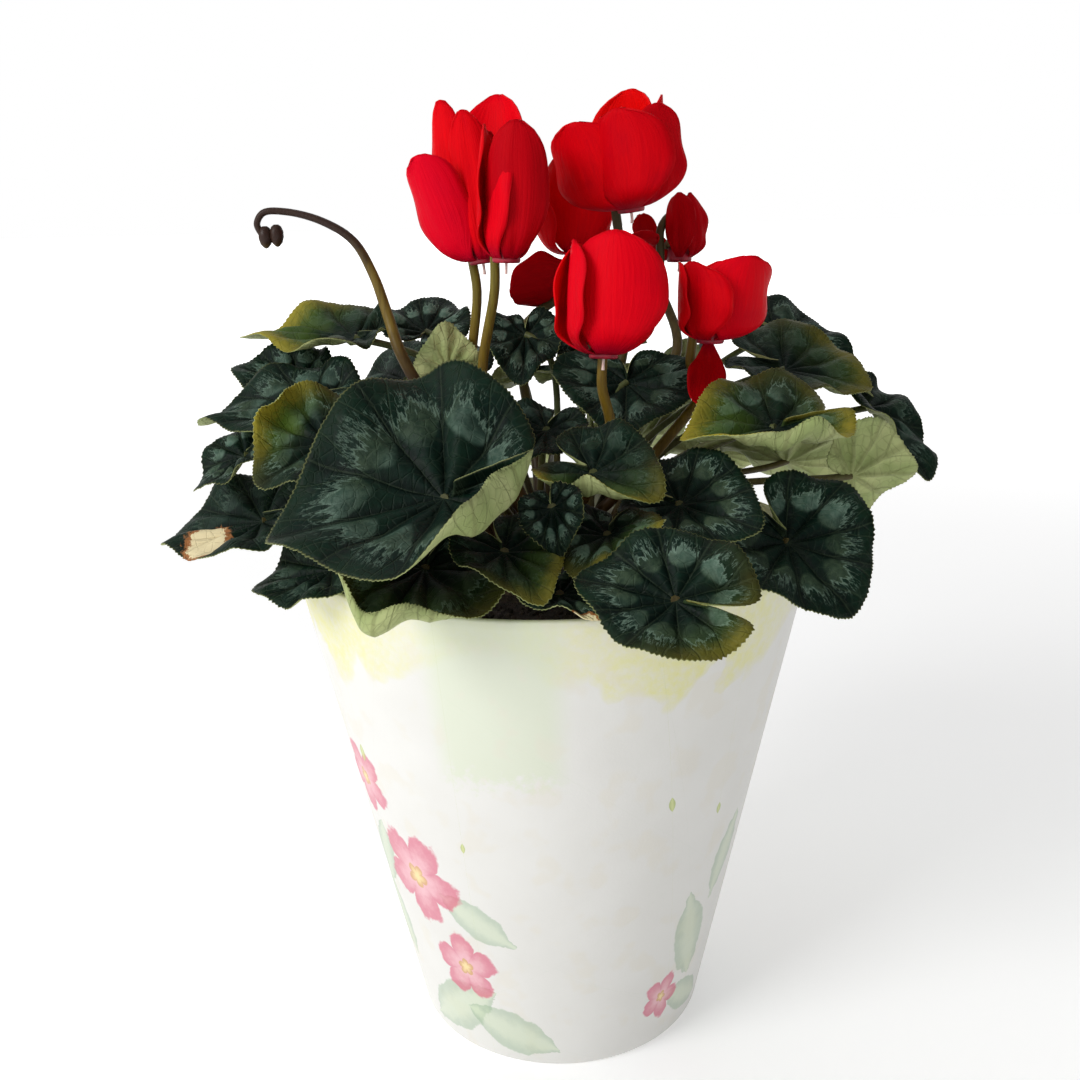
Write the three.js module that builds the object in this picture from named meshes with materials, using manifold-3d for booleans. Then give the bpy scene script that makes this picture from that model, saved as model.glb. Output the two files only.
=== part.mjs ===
// A florist's cyclamen in a tapered pot: pot, potting soil, tuber, heart-shaped leaves on
// fleshy stalks, red nodding flowers with swept-back petals, and one spent flower stalk.
// Millimetres, +Z up, origin in the middle of the pot's foot. The front faces -Y.
import * as THREE from "three";
import { mergeVertices } from "three/addons/utils/BufferGeometryUtils.js";
import Module from "manifold-3d";

const wasm = await Module();
wasm.setup();

// Pot, soil and tuber
const POT_HEIGHT = 160;
const POT_RIM_RADIUS = 80;
const POT_FOOT_RADIUS = 46.7;
const POT_WALL = 1.8;
const POT_FLOOR = 2.4;
const POT_SIDES = 44;
const GAP = 0.3;
const SOIL_TOP = 146;
const TUBER_RADIUS = 30;
const TUBER_HALF_HEIGHT = 14;
const TUBER_MIDDLE = 141;
const TUBER_SIDES = 24;

// Stem feet: rings of holes in the tuber's crown, from the outermost leaves to the flowers
const FOOT_BOTTOM = 142;
const FOOT_TOP = 156;
const LEAF_RINGS = [
  { radius: 24, stems: 18, turn: 0 },
  { radius: 18, stems: 13, turn: 0 },
  { radius: 12.2, stems: 10, turn: -16 },
];
const FLOWER_RING_RADIUS = 6.2;
const FLOWER_RING_TURN = 10;
const STEM_SIDES = 5;
const LEAF_STALK_RADIUS = 1.25;
const FLOWER_STALK_RADIUS = 1.8;

// Blades and petals
const BLADE_THICKNESS = 0.9;
const BLADE_RINGS = [
  { reach: 0, points: 5 },
  { reach: 0.5, points: 10 },
  { reach: 1, points: 20 },
];
const CURLED_RINGS = [
  { reach: 0, points: 5 },
  { reach: 0.5, points: 10 },
  { reach: 0.8, points: 20 },
  { reach: 1, points: 20 },
];
const BLADE_CUP = 0.1;
const BLADE_DROOP = 0.1;
const BLADE_RIPPLES = 5;
const JOINT_RADIUS = 1.6;
const PETAL_THICKNESS = 0.8;
const PETAL_ROOT = 1.2;
const PETAL_ROWS = [0, 0.2, 0.5, 0.8, 1];
const PETAL_COLUMNS = [-1, 0, 1];
const PETAL_TWIST = 20;
const TUBE_RADIUS = 4;
const TUBE_HEIGHT = 6.5;

const DEGREE = Math.PI / 180;

const vec = (list) => new THREE.Vector3(...list);

// Small repeatable random numbers, the same for the same seed
function randomFrom(seed) {
  let state = seed;
  return () => {
    state = (state * 1664525 + 1013904223) % 4294967296;
    return state / 4294967296;
  };
}

function material(colour, roughness) {
  return new THREE.MeshStandardMaterial({ color: colour, roughness, metalness: 0 });
}

const FINISH = {
  pot: material(0xf1eee2, 0.55),
  soil: material(0x2b1d14, 0.95),
  tuber: material(0x4a3527, 0.85),
  leaf: material(0x1d3a2c, 0.5),
  petal: material(0xc2081a, 0.5),
  stalk: material(0x8a7233, 0.5),
  spent: material(0x3d2c1c, 0.55),
};

// Solids and meshes

function geometryOf(points, triangles) {
  const geometry = new THREE.BufferGeometry();
  const flat = points.flatMap((p) => [p.x, p.y, p.z]);
  geometry.setAttribute("position", new THREE.Float32BufferAttribute(flat, 3));
  geometry.setIndex(triangles.flat());
  return geometry;
}

function solidOf(geometry) {
  const bare = geometry.clone();
  bare.deleteAttribute("normal");
  bare.deleteAttribute("uv");
  const merged = mergeVertices(bare, 1e-3);
  const mesh = new wasm.Mesh({
    numProp: 3,
    vertProperties: merged.attributes.position.array,
    triVerts: new Uint32Array(merged.index.array),
  });
  return new wasm.Manifold(mesh);
}

function geometryFrom(solid) {
  const mesh = solid.getMesh();
  const geometry = new THREE.BufferGeometry();
  geometry.setAttribute("position", new THREE.BufferAttribute(mesh.vertProperties, 3));
  geometry.setIndex(new THREE.BufferAttribute(mesh.triVerts, 1));
  return geometry;
}

// A lathe shape about +Z from [radius, height] pairs that run anticlockwise in that plane
function turned(profile, sides) {
  const points = profile.map(([radius, height]) => new THREE.Vector2(radius, height));
  return new THREE.LatheGeometry(points, sides).rotateX(Math.PI / 2);
}

// Rings of points joined into a closed skin. Rings may differ in count; the last ring and
// the first are closed by fans round their own middles.
function band(first, second, triangles) {
  const countA = first.length;
  const countB = second.length;
  let a = 0;
  let b = 0;
  while (a < countA || b < countB) {
    const nextA = (a + 1) / countA;
    const nextB = (b + 1) / countB;
    if (b >= countB || (a < countA && nextA <= nextB)) {
      triangles.push([first[a % countA], second[b % countB], first[(a + 1) % countA]]);
      a += 1;
    } else {
      triangles.push([first[a % countA], second[b % countB], second[(b + 1) % countB]]);
      b += 1;
    }
  }
}

function addRing(points, ring) {
  return ring.map((p) => points.push(p) - 1);
}

function closeRing(points, ring, middle, triangles, outward) {
  const centre = points.push(middle) - 1;
  ring.forEach((index, i) => {
    const next = ring[(i + 1) % ring.length];
    triangles.push(outward ? [centre, index, next] : [centre, next, index]);
  });
}

// Cross-sections of a stem along a path, all turned the same way
function stemSections(path, radiusAt, sides, firstSide) {
  const sections = [];
  let side = firstSide.clone();
  for (const { at, along, part } of path) {
    side = side.addScaledVector(along, -side.dot(along)).normalize();
    const other = new THREE.Vector3().crossVectors(side, along);
    const ring = [];
    for (let i = 0; i < sides; i += 1) {
      const angle = (2 * Math.PI * i) / sides;
      const offset = side.clone().multiplyScalar(Math.cos(angle));
      offset.addScaledVector(other, Math.sin(angle));
      ring.push(at.clone().addScaledVector(offset, radiusAt(part)));
    }
    sections.push(ring);
  }
  return sections;
}

function pathAlong(curve, parts) {
  return parts.map((part) => ({
    at: curve.getPoint(part),
    along: curve.getTangent(part).normalize(),
    part,
  }));
}

// Leaves
// at: where the stalk joins the blade. tip: the blade's point. face: roughly where its upper
// side looks. wide: half its width. back: how far its rear lobes reach behind the joint.
// fold lifts both sides of the midrib, wave ripples the margin, rise is how high the stalk
// stands before it bends outwards, and curl rolls the margin up over one stretch:
// [degrees from the tip, half-width in degrees, roll in degrees, where it starts].
const LEAVES = [
  { at: [-61, -46, 164], tip: [-84, -42, 158], face: [-0.4, -0.4, 0.85], wide: 16, back: 14 },
  { at: [1.5, -80, 167], tip: [15, -93, 166], face: [0.3, -0.5, 0.8], wide: 11, back: 9 },
  {
    at: [-12, -76, 177], tip: [-2, -93, 170], face: [0.3, -0.7, 0.65], wide: 14, back: 10,
    rise: 0.6, wave: 0.05,
  },
  {
    at: [-33, -66, 170], tip: [-45, -104, 160], face: [0.05, -0.65, 0.65], wide: 24, back: 14,
    rise: 0.25, curl: [0, 45, 140, 0.7],
  },
  { at: [28, -98, 171], tip: [5, -92, 175], face: [0.1, -0.7, 0.7], wide: 17, back: 17 },
  {
    at: [63, -52, 171], tip: [78, -66, 155], face: [0.3, -0.65, 0.7], wide: 25, back: 16,
    wave: 0.05,
  },
  {
    at: [14, -66, 178], tip: [6, -86, 174], face: [-0.2, -0.5, 0.8], wide: 15, back: 10,
    rise: 0.55, wave: 0.05,
  },
  { at: [0, -72, 187], tip: [2, -81, 177], face: [-0.2, -0.9, 0.3], wide: 8.5, back: 5 },
  {
    at: [34, -52, 182], tip: [53, -67, 179], face: [-0.1, -0.5, 0.85], wide: 18, back: 13,
    wave: 0.05,
  },
  {
    at: [-83, -30, 174], tip: [-116, -18, 166], face: [-0.2, -0.45, 0.85], wide: 18, back: 15,
    rise: 0.55,
  },
  {
    at: [-27, -68, 189], tip: [-71, -74, 181], face: [0.1, -0.5, 0.85], wide: 36, back: 24,
    fold: 0.3, curl: [130, 42, 140, 0.5],
  },
  { at: [-88, -24, 192], tip: [-102, -28, 183], face: [-0.6, -0.4, 0.7], wide: 14, back: 9 },
  {
    at: [-61, -42, 199], tip: [-77, -54, 189.5], face: [-0.3, -0.6, 0.75], wide: 20, back: 13,
    curl: [-80, 40, 140, 0.6], wave: 0.05,
  },
  {
    at: [11, -56, 192], tip: [28, -68, 188], face: [-0.1, -0.5, 0.85], wide: 16, back: 13,
    curl: [-70, 45, 140, 0.6],
  },
  {
    at: [63, -30, 198], tip: [36, -43, 196.5], face: [0, -0.45, 0.89], wide: 20, back: 19,
    curl: [70, 45, 140, 0.6],
  },
  { at: [89, -14, 180], tip: [110, -8, 179], face: [-0.3, 0.85, 0.35], wide: 18, back: 8 },
  { at: [104, 23, 194], tip: [118, 1, 175], face: [0.6, -0.3, 0.75], wide: 18, back: 12 },
  { at: [-70, -15, 205], tip: [-104, -11, 200], face: [-0.15, -0.35, 0.93], wide: 18, back: 14 },
  { at: [-77, 6, 208], tip: [-98, 10, 213], face: [-0.3, -0.5, 0.8], wide: 14, back: 9 },
  {
    at: [-60, 12, 221], tip: [-96, 16, 222], face: [-0.1, -0.25, 0.96], wide: 18, back: 10,
    rise: 0.7,
  },
  { at: [-1, -32, 199], tip: [-9, -44, 192], face: [-0.2, -0.6, 0.8], wide: 13, back: 8 },
  { at: [24, 7, 206], tip: [22, -13, 193], face: [0, -0.6, 0.8], wide: 23, back: 10, wave: 0.05 },
  { at: [61, 3, 198], tip: [62, -14, 193], face: [0, -0.4, 0.9], wide: 15, back: 10, wave: 0.05 },
  { at: [-7, 19, 220], tip: [-8, 1, 207], face: [-0.1, -0.6, 0.8], wide: 12.5, back: 8 },
  { at: [14, 30, 218], tip: [8, 12, 206], face: [0, -0.6, 0.8], wide: 12, back: 8, rise: 0.48 },
  { at: [-31, 4, 211], tip: [-31, 12, 225], face: [0, 0.85, 0.5], wide: 11, back: 4 },
  { at: [-40, 35, 220], tip: [-34, 51, 229], face: [0, -0.4, 0.9], wide: 15, back: 10 },
  {
    at: [74, 14, 208], tip: [100, 8, 203], face: [0.1, -0.35, 0.93], wide: 23, back: 17,
    wave: 0.05,
  },
  { at: [78, 50, 215], tip: [104, 46, 207], face: [0.15, -0.3, 0.94], wide: 19, back: 20 },
];

// The turn from one bearing to another, between -180 and 180
function fromMiddle(degrees, middle) {
  return THREE.MathUtils.euclideanModulo(degrees - middle + 180, 360) - 180;
}

// The unit outline of a heart-shaped blade: 1 at the tip, a notch behind
function outline(degrees) {
  const away = Math.abs(fromMiddle(degrees, 0));
  const heart = 0.8 + 0.2 * Math.exp(-((away / 20) ** 2));
  const notch = 1 - Math.exp(-(((180 - away) / 6) ** 1.3));
  return heart * Math.max(notch, 0.12);
}

// Bearings of a ring's points round the blade, closest together at the notch
function ringBearings(count) {
  const even = Array.from({ length: count }, (_, i) => (360 * i) / count);
  return even.map((degrees) => degrees + 30 * Math.sin(degrees * DEGREE));
}

const OUTLINE_SIDE = 0.8;
const OUTLINE_BACK = 0.69;

function leafFrame(leaf) {
  const at = vec(leaf.at);
  const ahead = vec(leaf.tip).sub(at);
  const length = ahead.length();
  ahead.divideScalar(length);
  const up = vec(leaf.face);
  up.addScaledVector(ahead, -up.dot(ahead)).normalize();
  const left = new THREE.Vector3().crossVectors(up, ahead);
  return { at, ahead, left, up, length };
}

// A point of the blade's middle sheet: degrees round from the tip, reach 0 at the joint and
// 1 at the margin
function bladePoint(leaf, frame, degrees, reach) {
  const { fold = 0.15, wave = 0.085 } = leaf;
  const cos = Math.cos(degrees * DEGREE);
  const sin = Math.sin(degrees * DEGREE);
  const edge = outline(degrees);
  const outX = edge * cos * (cos > 0 ? frame.length : leaf.back / OUTLINE_BACK);
  const outY = (edge * sin * leaf.wide) / OUTLINE_SIDE;
  const size = 0.5 * (frame.length + leaf.wide);
  let x = THREE.MathUtils.lerp(JOINT_RADIUS * cos, outX, reach);
  let y = THREE.MathUtils.lerp(JOINT_RADIUS * sin, outY, reach);
  let z = size * reach ** 2 * (BLADE_CUP + wave * Math.sin(BLADE_RIPPLES * degrees * DEGREE));
  z += fold * (Math.hypot(y, 3) - 3);
  z -= (BLADE_DROOP * Math.max(x, 0) ** 2) / frame.length;
  if (leaf.curl) {
    const [middle, halfWidth, roll, start] = leaf.curl;
    const away = fromMiddle(degrees, middle);
    const bend = roll * DEGREE * Math.exp(-((away / halfWidth) ** 2));
    const past = (reach - start) / (1 - start);
    if (past > 0 && bend > 0.01) {
      const span = Math.hypot(outX, outY) * (1 - start);
      const back = span * past - (span * Math.sin(bend * past)) / bend;
      const shrink = 1 - back / Math.hypot(x, y);
      x *= shrink;
      y *= shrink;
      z += (span * (1 - Math.cos(bend * past))) / bend;
    }
  }
  const point = frame.at.clone().addScaledVector(frame.ahead, x);
  return point.addScaledVector(frame.left, y).addScaledVector(frame.up, z);
}

function sheetNormals(points, triangles) {
  const normals = points.map(() => new THREE.Vector3());
  for (const [a, b, c] of triangles) {
    const one = points[b].clone().sub(points[a]);
    const face = one.cross(points[c].clone().sub(points[a]));
    [a, b, c].forEach((i) => normals[i].add(face));
  }
  return normals.map((n) => n.normalize());
}

function leafStalkCurve(leaf, frame, foot) {
  const joint = frame.at.clone().addScaledVector(frame.up, -BLADE_THICKNESS / 2);
  const top = new THREE.Vector3(foot.x, foot.y, FOOT_TOP);
  const inward = top.clone().sub(joint).setZ(0);
  const span = joint.distanceTo(top);
  inward.normalize();
  const near = joint.clone().addScaledVector(frame.up, -6);
  near.addScaledVector(inward, 0.3 * span);
  const far = top.clone().addScaledVector(inward, -0.12 * span);
  far.z += (leaf.rise ?? 0.4) * span;
  return new THREE.CubicBezierCurve3(joint, near, far, top);
}

function leafGeometry(leaf, foot) {
  const frame = leafFrame(leaf);
  const rings = leaf.curl ? CURLED_RINGS : BLADE_RINGS;
  const sheet = [];
  const faces = [];
  const ids = rings.map(({ reach, points: count }) =>
    addRing(sheet, ringBearings(count).map((turn) => bladePoint(leaf, frame, turn, reach))),
  );
  ids.slice(1).forEach((ring, i) => band(ids[i], ring, faces));
  const normals = sheetNormals(sheet, faces);
  const half = BLADE_THICKNESS / 2;
  const points = sheet.map((p, i) => p.clone().addScaledVector(normals[i], half));
  const below = sheet.map((p, i) => p.clone().addScaledVector(normals[i], -half));
  const shift = points.length;
  points.push(...below);
  const triangles = [...faces];
  faces.forEach(([a, b, c]) => triangles.push([a + shift, c + shift, b + shift]));
  const margin = ids.at(-1);
  band(margin, margin.map((i) => i + shift), triangles);
  const crown = frame.at.clone().addScaledVector(frame.up, half * 0.6);
  closeRing(points, ids[0], crown, triangles, true);

  const curve = leafStalkCurve(leaf, frame, foot);
  const path = pathAlong(curve, [0.12, 0.35, 0.65, 1]);
  const down = new THREE.Vector3(0, 0, -1);
  path.push({ at: foot.clone(), along: down, part: 1 });
  const sections = stemSections(path, () => LEAF_STALK_RADIUS, STEM_SIDES, frame.ahead);
  let last = ids[0].map((i) => i + shift);
  for (const section of sections) {
    const ring = addRing(points, section);
    band(last, ring, triangles);
    last = ring;
  }
  closeRing(points, last, foot.clone(), triangles, false);
  return geometryOf(points, triangles);
}

// Stem feet: stems share a ring of the crown in the order of their bearings
function feetOnRing(bearings, radius, turn = 0) {
  const order = bearings.map((bearing, i) => ({ bearing, i }));
  order.sort((a, b) => a.bearing - b.bearing);
  const step = 360 / bearings.length;
  let start = turn;
  order.forEach(({ bearing }, k) => {
    start += (bearing - k * step) / bearings.length;
  });
  const feet = [];
  order.forEach(({ i }, k) => {
    const angle = (start + k * step) * DEGREE;
    feet[i] = new THREE.Vector3(radius * Math.cos(angle), radius * Math.sin(angle), FOOT_BOTTOM);
  });
  return feet;
}

function bearingOf([x, y]) {
  return Math.atan2(y, x) / DEGREE;
}

function leafFeet(leaves) {
  const far = leaves.map((leaf, i) => ({ i, away: Math.hypot(leaf.at[0], leaf.at[1]) }));
  far.sort((a, b) => b.away - a.away);
  const feet = [];
  let taken = 0;
  for (const { radius, stems, turn } of LEAF_RINGS) {
    const share = far.slice(taken, taken + stems).map(({ i }) => i);
    taken += stems;
    const bearings = share.map((i) => bearingOf(leaves[i].at));
    const ring = feetOnRing(bearings, radius, turn);
    share.forEach((i, k) => {
      feet[i] = ring[k];
    });
  }
  return feet;
}

// Back of the plant: two tiers of leaves at even bearings, each with one side under its
// neighbour's like tiles, and with small seeded differences
function backLeaves() {
  const random = randomFrom(7);
  const vary = (amount) => amount * (2 * random() - 1);
  const tiers = [
    { count: 7, from: 22, to: 158, away: 84, height: 175, tipAway: 32, tipDrop: 14, size: 24 },
    { count: 5, from: 52, to: 146, away: 58, height: 204, tipAway: 30, tipDrop: 6, size: 19 },
  ];
  return tiers.flatMap(({ count, from, to, away, height, tipAway, tipDrop, size }) =>
    Array.from({ length: count }, (_, i) => {
      const bearing = (from + ((to - from) * i) / (count - 1) + vary(4)) * DEGREE;
      const out = [Math.cos(bearing), Math.sin(bearing)];
      const turn = bearing + vary(20) * DEGREE;
      const at = [out[0] * away, out[1] * away, height + vary(3)];
      const reach = tipAway + vary(4);
      const tip = [
        at[0] + Math.cos(turn) * reach,
        at[1] + Math.sin(turn) * reach,
        at[2] - tipDrop + vary(3),
      ];
      const wide = size + vary(2);
      const face = [out[0] * 0.3 - out[1] * 0.4, out[1] * 0.3 + out[0] * 0.4, 0.85];
      return { at, tip, face, wide, back: 0.6 * wide };
    }),
  );
}

// Flowers
// at: the middle of the flower's mouth, which looks down. up: where the petals point.
// stalk: the side that the stalk passes on, as a bearing. bulge and close: how far out the
// petals stand at their middle and at their end. petals: for each petal its bearing, length,
// half width, lean outwards in degrees, how far it stands in front of its neighbours and, where
// it isn't PETAL_TWIST, its twist in degrees.
const FLOWERS = [
  {
    at: [-19, 8, 242.5],
    up: [-0.12, 0.04, 1],
    stalk: 122,
    bulge: 7.8,
    close: 7,
    via: [-24, 14, 205],
    petals: [
      [56, 50, 12, 14, 0, -15],
      [210, 46, 7, -1, 0, -30],
      [218, 34, 9, 17, 0.5, -30],
      [276, 42, 7, -1, 0.8],
      [340, 36, 7, 0, 0],
    ],
  },
  {
    at: [-11.5, -10, 243.5],
    up: [0.04, 0, 1],
    stalk: 122,
    bulge: 7.8,
    close: 6.5,
    via: [-20, 0, 207],
    petals: [
      [15, 34, 7, 2, 0],
      [60, 34, 7, 0, 0],
      [184, 36, 6.5, 0, 0],
      [232, 33, 6.5, -3, 0],
      [288, 37, 8.8, 2, 0.8],
    ],
  },
  {
    at: [10, 36, 242.5],
    up: [0, 0.1, 1],
    stalk: 100,
    bulge: 10,
    close: 9,
    via: [-8, 32, 220],
    petals: [
      [30, 30, 9, 15, 0],
      [203, 23, 9, 107, 0, -62],
      [205, 38, 12, 27, 0],
      [258, 31, 12.5, 8, 0.5],
      [335, 24, 7, 66, 0],
    ],
  },
  {
    at: [25.5, 8, 256.5],
    up: [-0.12, -0.04, 1],
    stalk: 130,
    bulge: 11,
    close: 10.5,
    via: [25, 20, 222],
    petals: [
      [20, 31, 10, 6, 0],
      [72, 34, 12.5, 5, 0],
      [205, 28, 11.5, 12, 0, -40],
      [264, 28, 13, 1, 1.5],
      [335, 28, 8, 1, 0, 50],
    ],
  },
  {
    at: [15.3, -25, 217.5],
    up: [0.05, 0.1, 1],
    stalk: 88,
    bulge: 11,
    close: 8.5,
    via: [17.5, -17, 196],
    petals: [
      [20, 30, 10, 0, 0],
      [152, 30, 10, 0, 0],
      [207, 31, 9, 4, 0],
      [277, 33, 13.5, 1, 1.5],
      [335, 30, 9, 0, 0],
    ],
  },
  {
    at: [47, -10, 219.5],
    up: [0.03, 0, 1],
    stalk: 130,
    bulge: 9.5,
    close: 8.5,
    via: [51, 0, 211],
    petals: [
      [70, 22, 8, 4, 0],
      [192, 22, 8, 4, 0],
      [232, 23, 11, 7, 0],
      [252, 19, 5.5, 146, 0],
      [315, 25, 12.5, 8, 1],
    ],
  },
  {
    at: [43, 36, 240.5],
    up: [0, 0.1, 1],
    stalk: 200,
    bulge: 7,
    close: 4,
    via: [41, 21, 214],
    petals: [
      [264, 20, 5, 0, 0],
      [322, 20, 5, 0, 0],
      [20, 20, 5, 0, 0],
      [78, 20, 5, 0, 0],
      [136, 20, 5, 40, 0],
    ],
  },
];

function flowerFrame(flower) {
  const at = vec(flower.at);
  const up = vec(flower.up).normalize();
  const bearing = flower.stalk * DEGREE;
  const side = new THREE.Vector3(Math.cos(bearing), Math.sin(bearing), 0);
  side.addScaledVector(up, -side.dot(up)).normalize();
  const across = new THREE.Vector3().crossVectors(up, side);
  return { at, up, side, across };
}

function flowerPoint(frame, x, y, z) {
  const point = frame.at.clone().addScaledVector(frame.side, x);
  return point.addScaledVector(frame.across, y).addScaledVector(frame.up, z);
}

// Half a petal's width as a share of its widest
function petalWidth(part) {
  const rise = 0.2 + 0.8 * Math.sin((Math.min(part / 0.62, 1) * Math.PI) / 2) ** 1.6;
  const round = part > 0.62 ? Math.sqrt(1 - ((part - 0.62) / 0.38) ** 2.4) : 1;
  return rise * Math.max(round, 0.3);
}

// A point of a petal's middle sheet: part runs from the mouth to the tip, across from -1 to 1
function petalPoint(flower, frame, index, part, across) {
  const [direction, long, wide, leaning, push, turn = PETAL_TWIST] = flower.petals[index];
  const twist = turn * DEGREE;
  const half = wide * petalWidth(part);
  const rising = Math.min(part / 0.4, 1);
  const closing = Math.max(part - 0.5, 0) / 0.5;
  const base = TUBE_RADIUS - 0.6;
  let out = base + (flower.bulge + push - base) * Math.sin((rising * Math.PI) / 2);
  out -= (flower.bulge - flower.close) * closing ** 2;
  let high = long * part ** 1.5;
  const lean = leaning * DEGREE;
  const side = across * half;
  const inward = (side * side) / (2.2 * flower.bulge);
  const ease = Math.min(part / 0.3, 1);
  let radial = out - base - inward * Math.cos(twist) + side * Math.sin(twist * ease);
  const tangential = side * Math.cos(twist * ease) + inward * Math.sin(twist);
  const turnedRadial = radial * Math.cos(lean) + high * Math.sin(lean);
  high = high * Math.cos(lean) - radial * Math.sin(lean);
  high += PETAL_ROOT;
  radial = base + turnedRadial;
  const bearing = (direction - flower.stalk) * DEGREE;
  const x = radial * Math.cos(bearing) - tangential * Math.sin(bearing);
  const y = radial * Math.sin(bearing) + tangential * Math.cos(bearing);
  return flowerPoint(frame, x, y, high);
}

function petalGeometry(flower, frame, index) {
  const sheet = [];
  const faces = [];
  const grid = PETAL_ROWS.map((part) =>
    addRing(sheet, PETAL_COLUMNS.map((across) => petalPoint(flower, frame, index, part, across))),
  );
  for (let row = 0; row + 1 < grid.length; row += 1) {
    for (let column = 0; column + 1 < PETAL_COLUMNS.length; column += 1) {
      const [a, b] = [grid[row][column], grid[row][column + 1]];
      const [c, d] = [grid[row + 1][column], grid[row + 1][column + 1]];
      faces.push([a, b, d], [a, d, c]);
    }
  }
  const normals = sheetNormals(sheet, faces);
  const half = PETAL_THICKNESS / 2;
  const points = sheet.map((p, i) => p.clone().addScaledVector(normals[i], half));
  points.push(...sheet.map((p, i) => p.clone().addScaledVector(normals[i], -half)));
  const shift = sheet.length;
  const triangles = [...faces];
  faces.forEach(([a, b, c]) => triangles.push([a + shift, c + shift, b + shift]));
  const margin = [
    ...grid[0],
    ...grid.slice(1).map((row) => row.at(-1)),
    ...grid.at(-1).slice(0, -1).reverse(),
    ...grid.slice(1, -1).map((row) => row[0]).reverse(),
  ];
  margin.forEach((a, i) => {
    const b = margin[(i + 1) % margin.length];
    triangles.push([a, a + shift, b], [b, a + shift, b + shift]);
  });
  return geometryOf(points, triangles);
}

function placeInFlower(geometry, frame) {
  const matrix = new THREE.Matrix4().makeBasis(frame.side, frame.across, frame.up);
  matrix.setPosition(frame.at);
  return geometry.applyMatrix4(matrix);
}

function corollaGeometry(flower) {
  const frame = flowerFrame(flower);
  const tube = turned(
    [
      [TUBE_RADIUS - 1.4, 0],
      [TUBE_RADIUS, 0],
      [TUBE_RADIUS, TUBE_HEIGHT - 1.5],
      [0, TUBE_HEIGHT],
      [0, TUBE_HEIGHT - 1.2],
      [TUBE_RADIUS - 1.4, TUBE_HEIGHT - 2.4],
      [TUBE_RADIUS - 1.4, 0],
    ],
    8,
  );
  let solid = solidOf(placeInFlower(tube, frame));
  flower.petals.forEach((_, index) => {
    solid = solid.add(solidOf(petalGeometry(flower, frame, index)));
  });
  return geometryFrom(solid);
}

// The calyx: a green cap on the flower tube with five lobes
function calyxGeometry() {
  const outer = TUBE_RADIUS + 1.1;
  return turned(
    [
      [0, TUBE_HEIGHT + GAP],
      [TUBE_RADIUS + GAP, TUBE_HEIGHT - 1.5 + GAP],
      [TUBE_RADIUS + GAP, 4.6],
      [outer, 4.6],
      [outer, TUBE_HEIGHT - 1],
      [0, TUBE_HEIGHT + 2.4],
    ],
    8,
  );
}

function stemSolid(points, radii, sides) {
  const curve = new THREE.CatmullRomCurve3(points, false, "centripetal");
  const count = points.length - 1;
  const parts = points.map((_, i) => i / count);
  const path = pathAlong(curve, parts);
  const start = new THREE.Vector3(1, 0, 0);
  if (Math.abs(path[0].along.x) > 0.9) start.set(0, 1, 0);
  const radiusAt = (part) => {
    const place = part * (radii.length - 1);
    const low = Math.min(Math.floor(place), radii.length - 2);
    return THREE.MathUtils.lerp(radii[low], radii[low + 1], place - low);
  };
  const sections = stemSections(path, radiusAt, sides, start);
  const all = [];
  const triangles = [];
  const ids = sections.map((section) => addRing(all, section));
  closeRing(all, ids[0], points[0].clone(), triangles, true);
  ids.slice(1).forEach((ring, i) => band(ids[i], ring, triangles));
  closeRing(all, ids.at(-1), points.at(-1).clone(), triangles, false);
  return solidOf(geometryOf(all, triangles));
}

function footPoints(foot, towards) {
  const top = new THREE.Vector3(foot.x, foot.y, FOOT_TOP);
  const over = top.clone().lerp(towards, 0.45);
  over.x = THREE.MathUtils.lerp(foot.x, towards.x, 0.5);
  over.y = THREE.MathUtils.lerp(foot.y, towards.y, 0.5);
  return [over, top, foot.clone()];
}

const HOOK_RADIUS = 3.2;

function flowerStalkGeometry(flower, foot) {
  const frame = flowerFrame(flower);
  const top = TUBE_HEIGHT + 2;
  const far = 2 * HOOK_RADIUS;
  const hook = [
    flowerPoint(frame, 0, 0, top),
    flowerPoint(frame, 0.4, 0, top + 2.4),
    flowerPoint(frame, HOOK_RADIUS, 0, top + 2.4 + HOOK_RADIUS),
    flowerPoint(frame, far, 0, top + 2),
    flowerPoint(frame, far + 0.3, 0, 2),
    flowerPoint(frame, far + 0.2, 0, -8),
  ];
  hook.push(vec(flower.via));
  const points = [...hook, ...footPoints(foot, hook.at(-1))];
  const radii = [1.5, 1.4, 1.3, 1.4, 1.5, 1.6, FLOWER_STALK_RADIUS, FLOWER_STALK_RADIUS];
  let solid = stemSolid(points, radii, STEM_SIDES);
  solid = solid.add(solidOf(placeInFlower(calyxGeometry(), frame)));
  return geometryFrom(solid);
}

// The spent flower's stalk, by the points it passes from its tip down to the leaves
const SPENT_STALK = [
  [-84.5, 6, 252.5],
  [-85.6, 6, 255.5],
  [-83.5, 6, 258.6],
  [-77, 6, 258.8],
  [-66, 5, 255.8],
  [-57, 4, 250],
  [-51.5, 3, 240],
  [-48, 2, 229],
  [-43.5, -2, 216],
];

function spentStalkGeometry(foot) {
  const points = SPENT_STALK.map(vec);
  points.push(...footPoints(foot, points.at(-1)));
  const radii = [1, 1, 1, 1.1, 1.3, 1.5, 1.7, FLOWER_STALK_RADIUS, FLOWER_STALK_RADIUS];
  let solid = stemSolid(points, radii, STEM_SIDES);
  const bud = new THREE.SphereGeometry(2.6, 8, 5).scale(0.8, 0.8, 1.25).rotateX(Math.PI / 2);
  bud.translate(-83.4, 6, 251.6);
  const twin = bud.clone().scale(1, 1, 0.9).translate(3.4, 0, 25.6);
  solid = solid.add(solidOf(bud)).add(solidOf(twin));
  return geometryFrom(solid);
}

// Pot, soil and tuber

function potRadius(height) {
  return POT_FOOT_RADIUS + ((POT_RIM_RADIUS - POT_FOOT_RADIUS) * height) / POT_HEIGHT;
}

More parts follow.
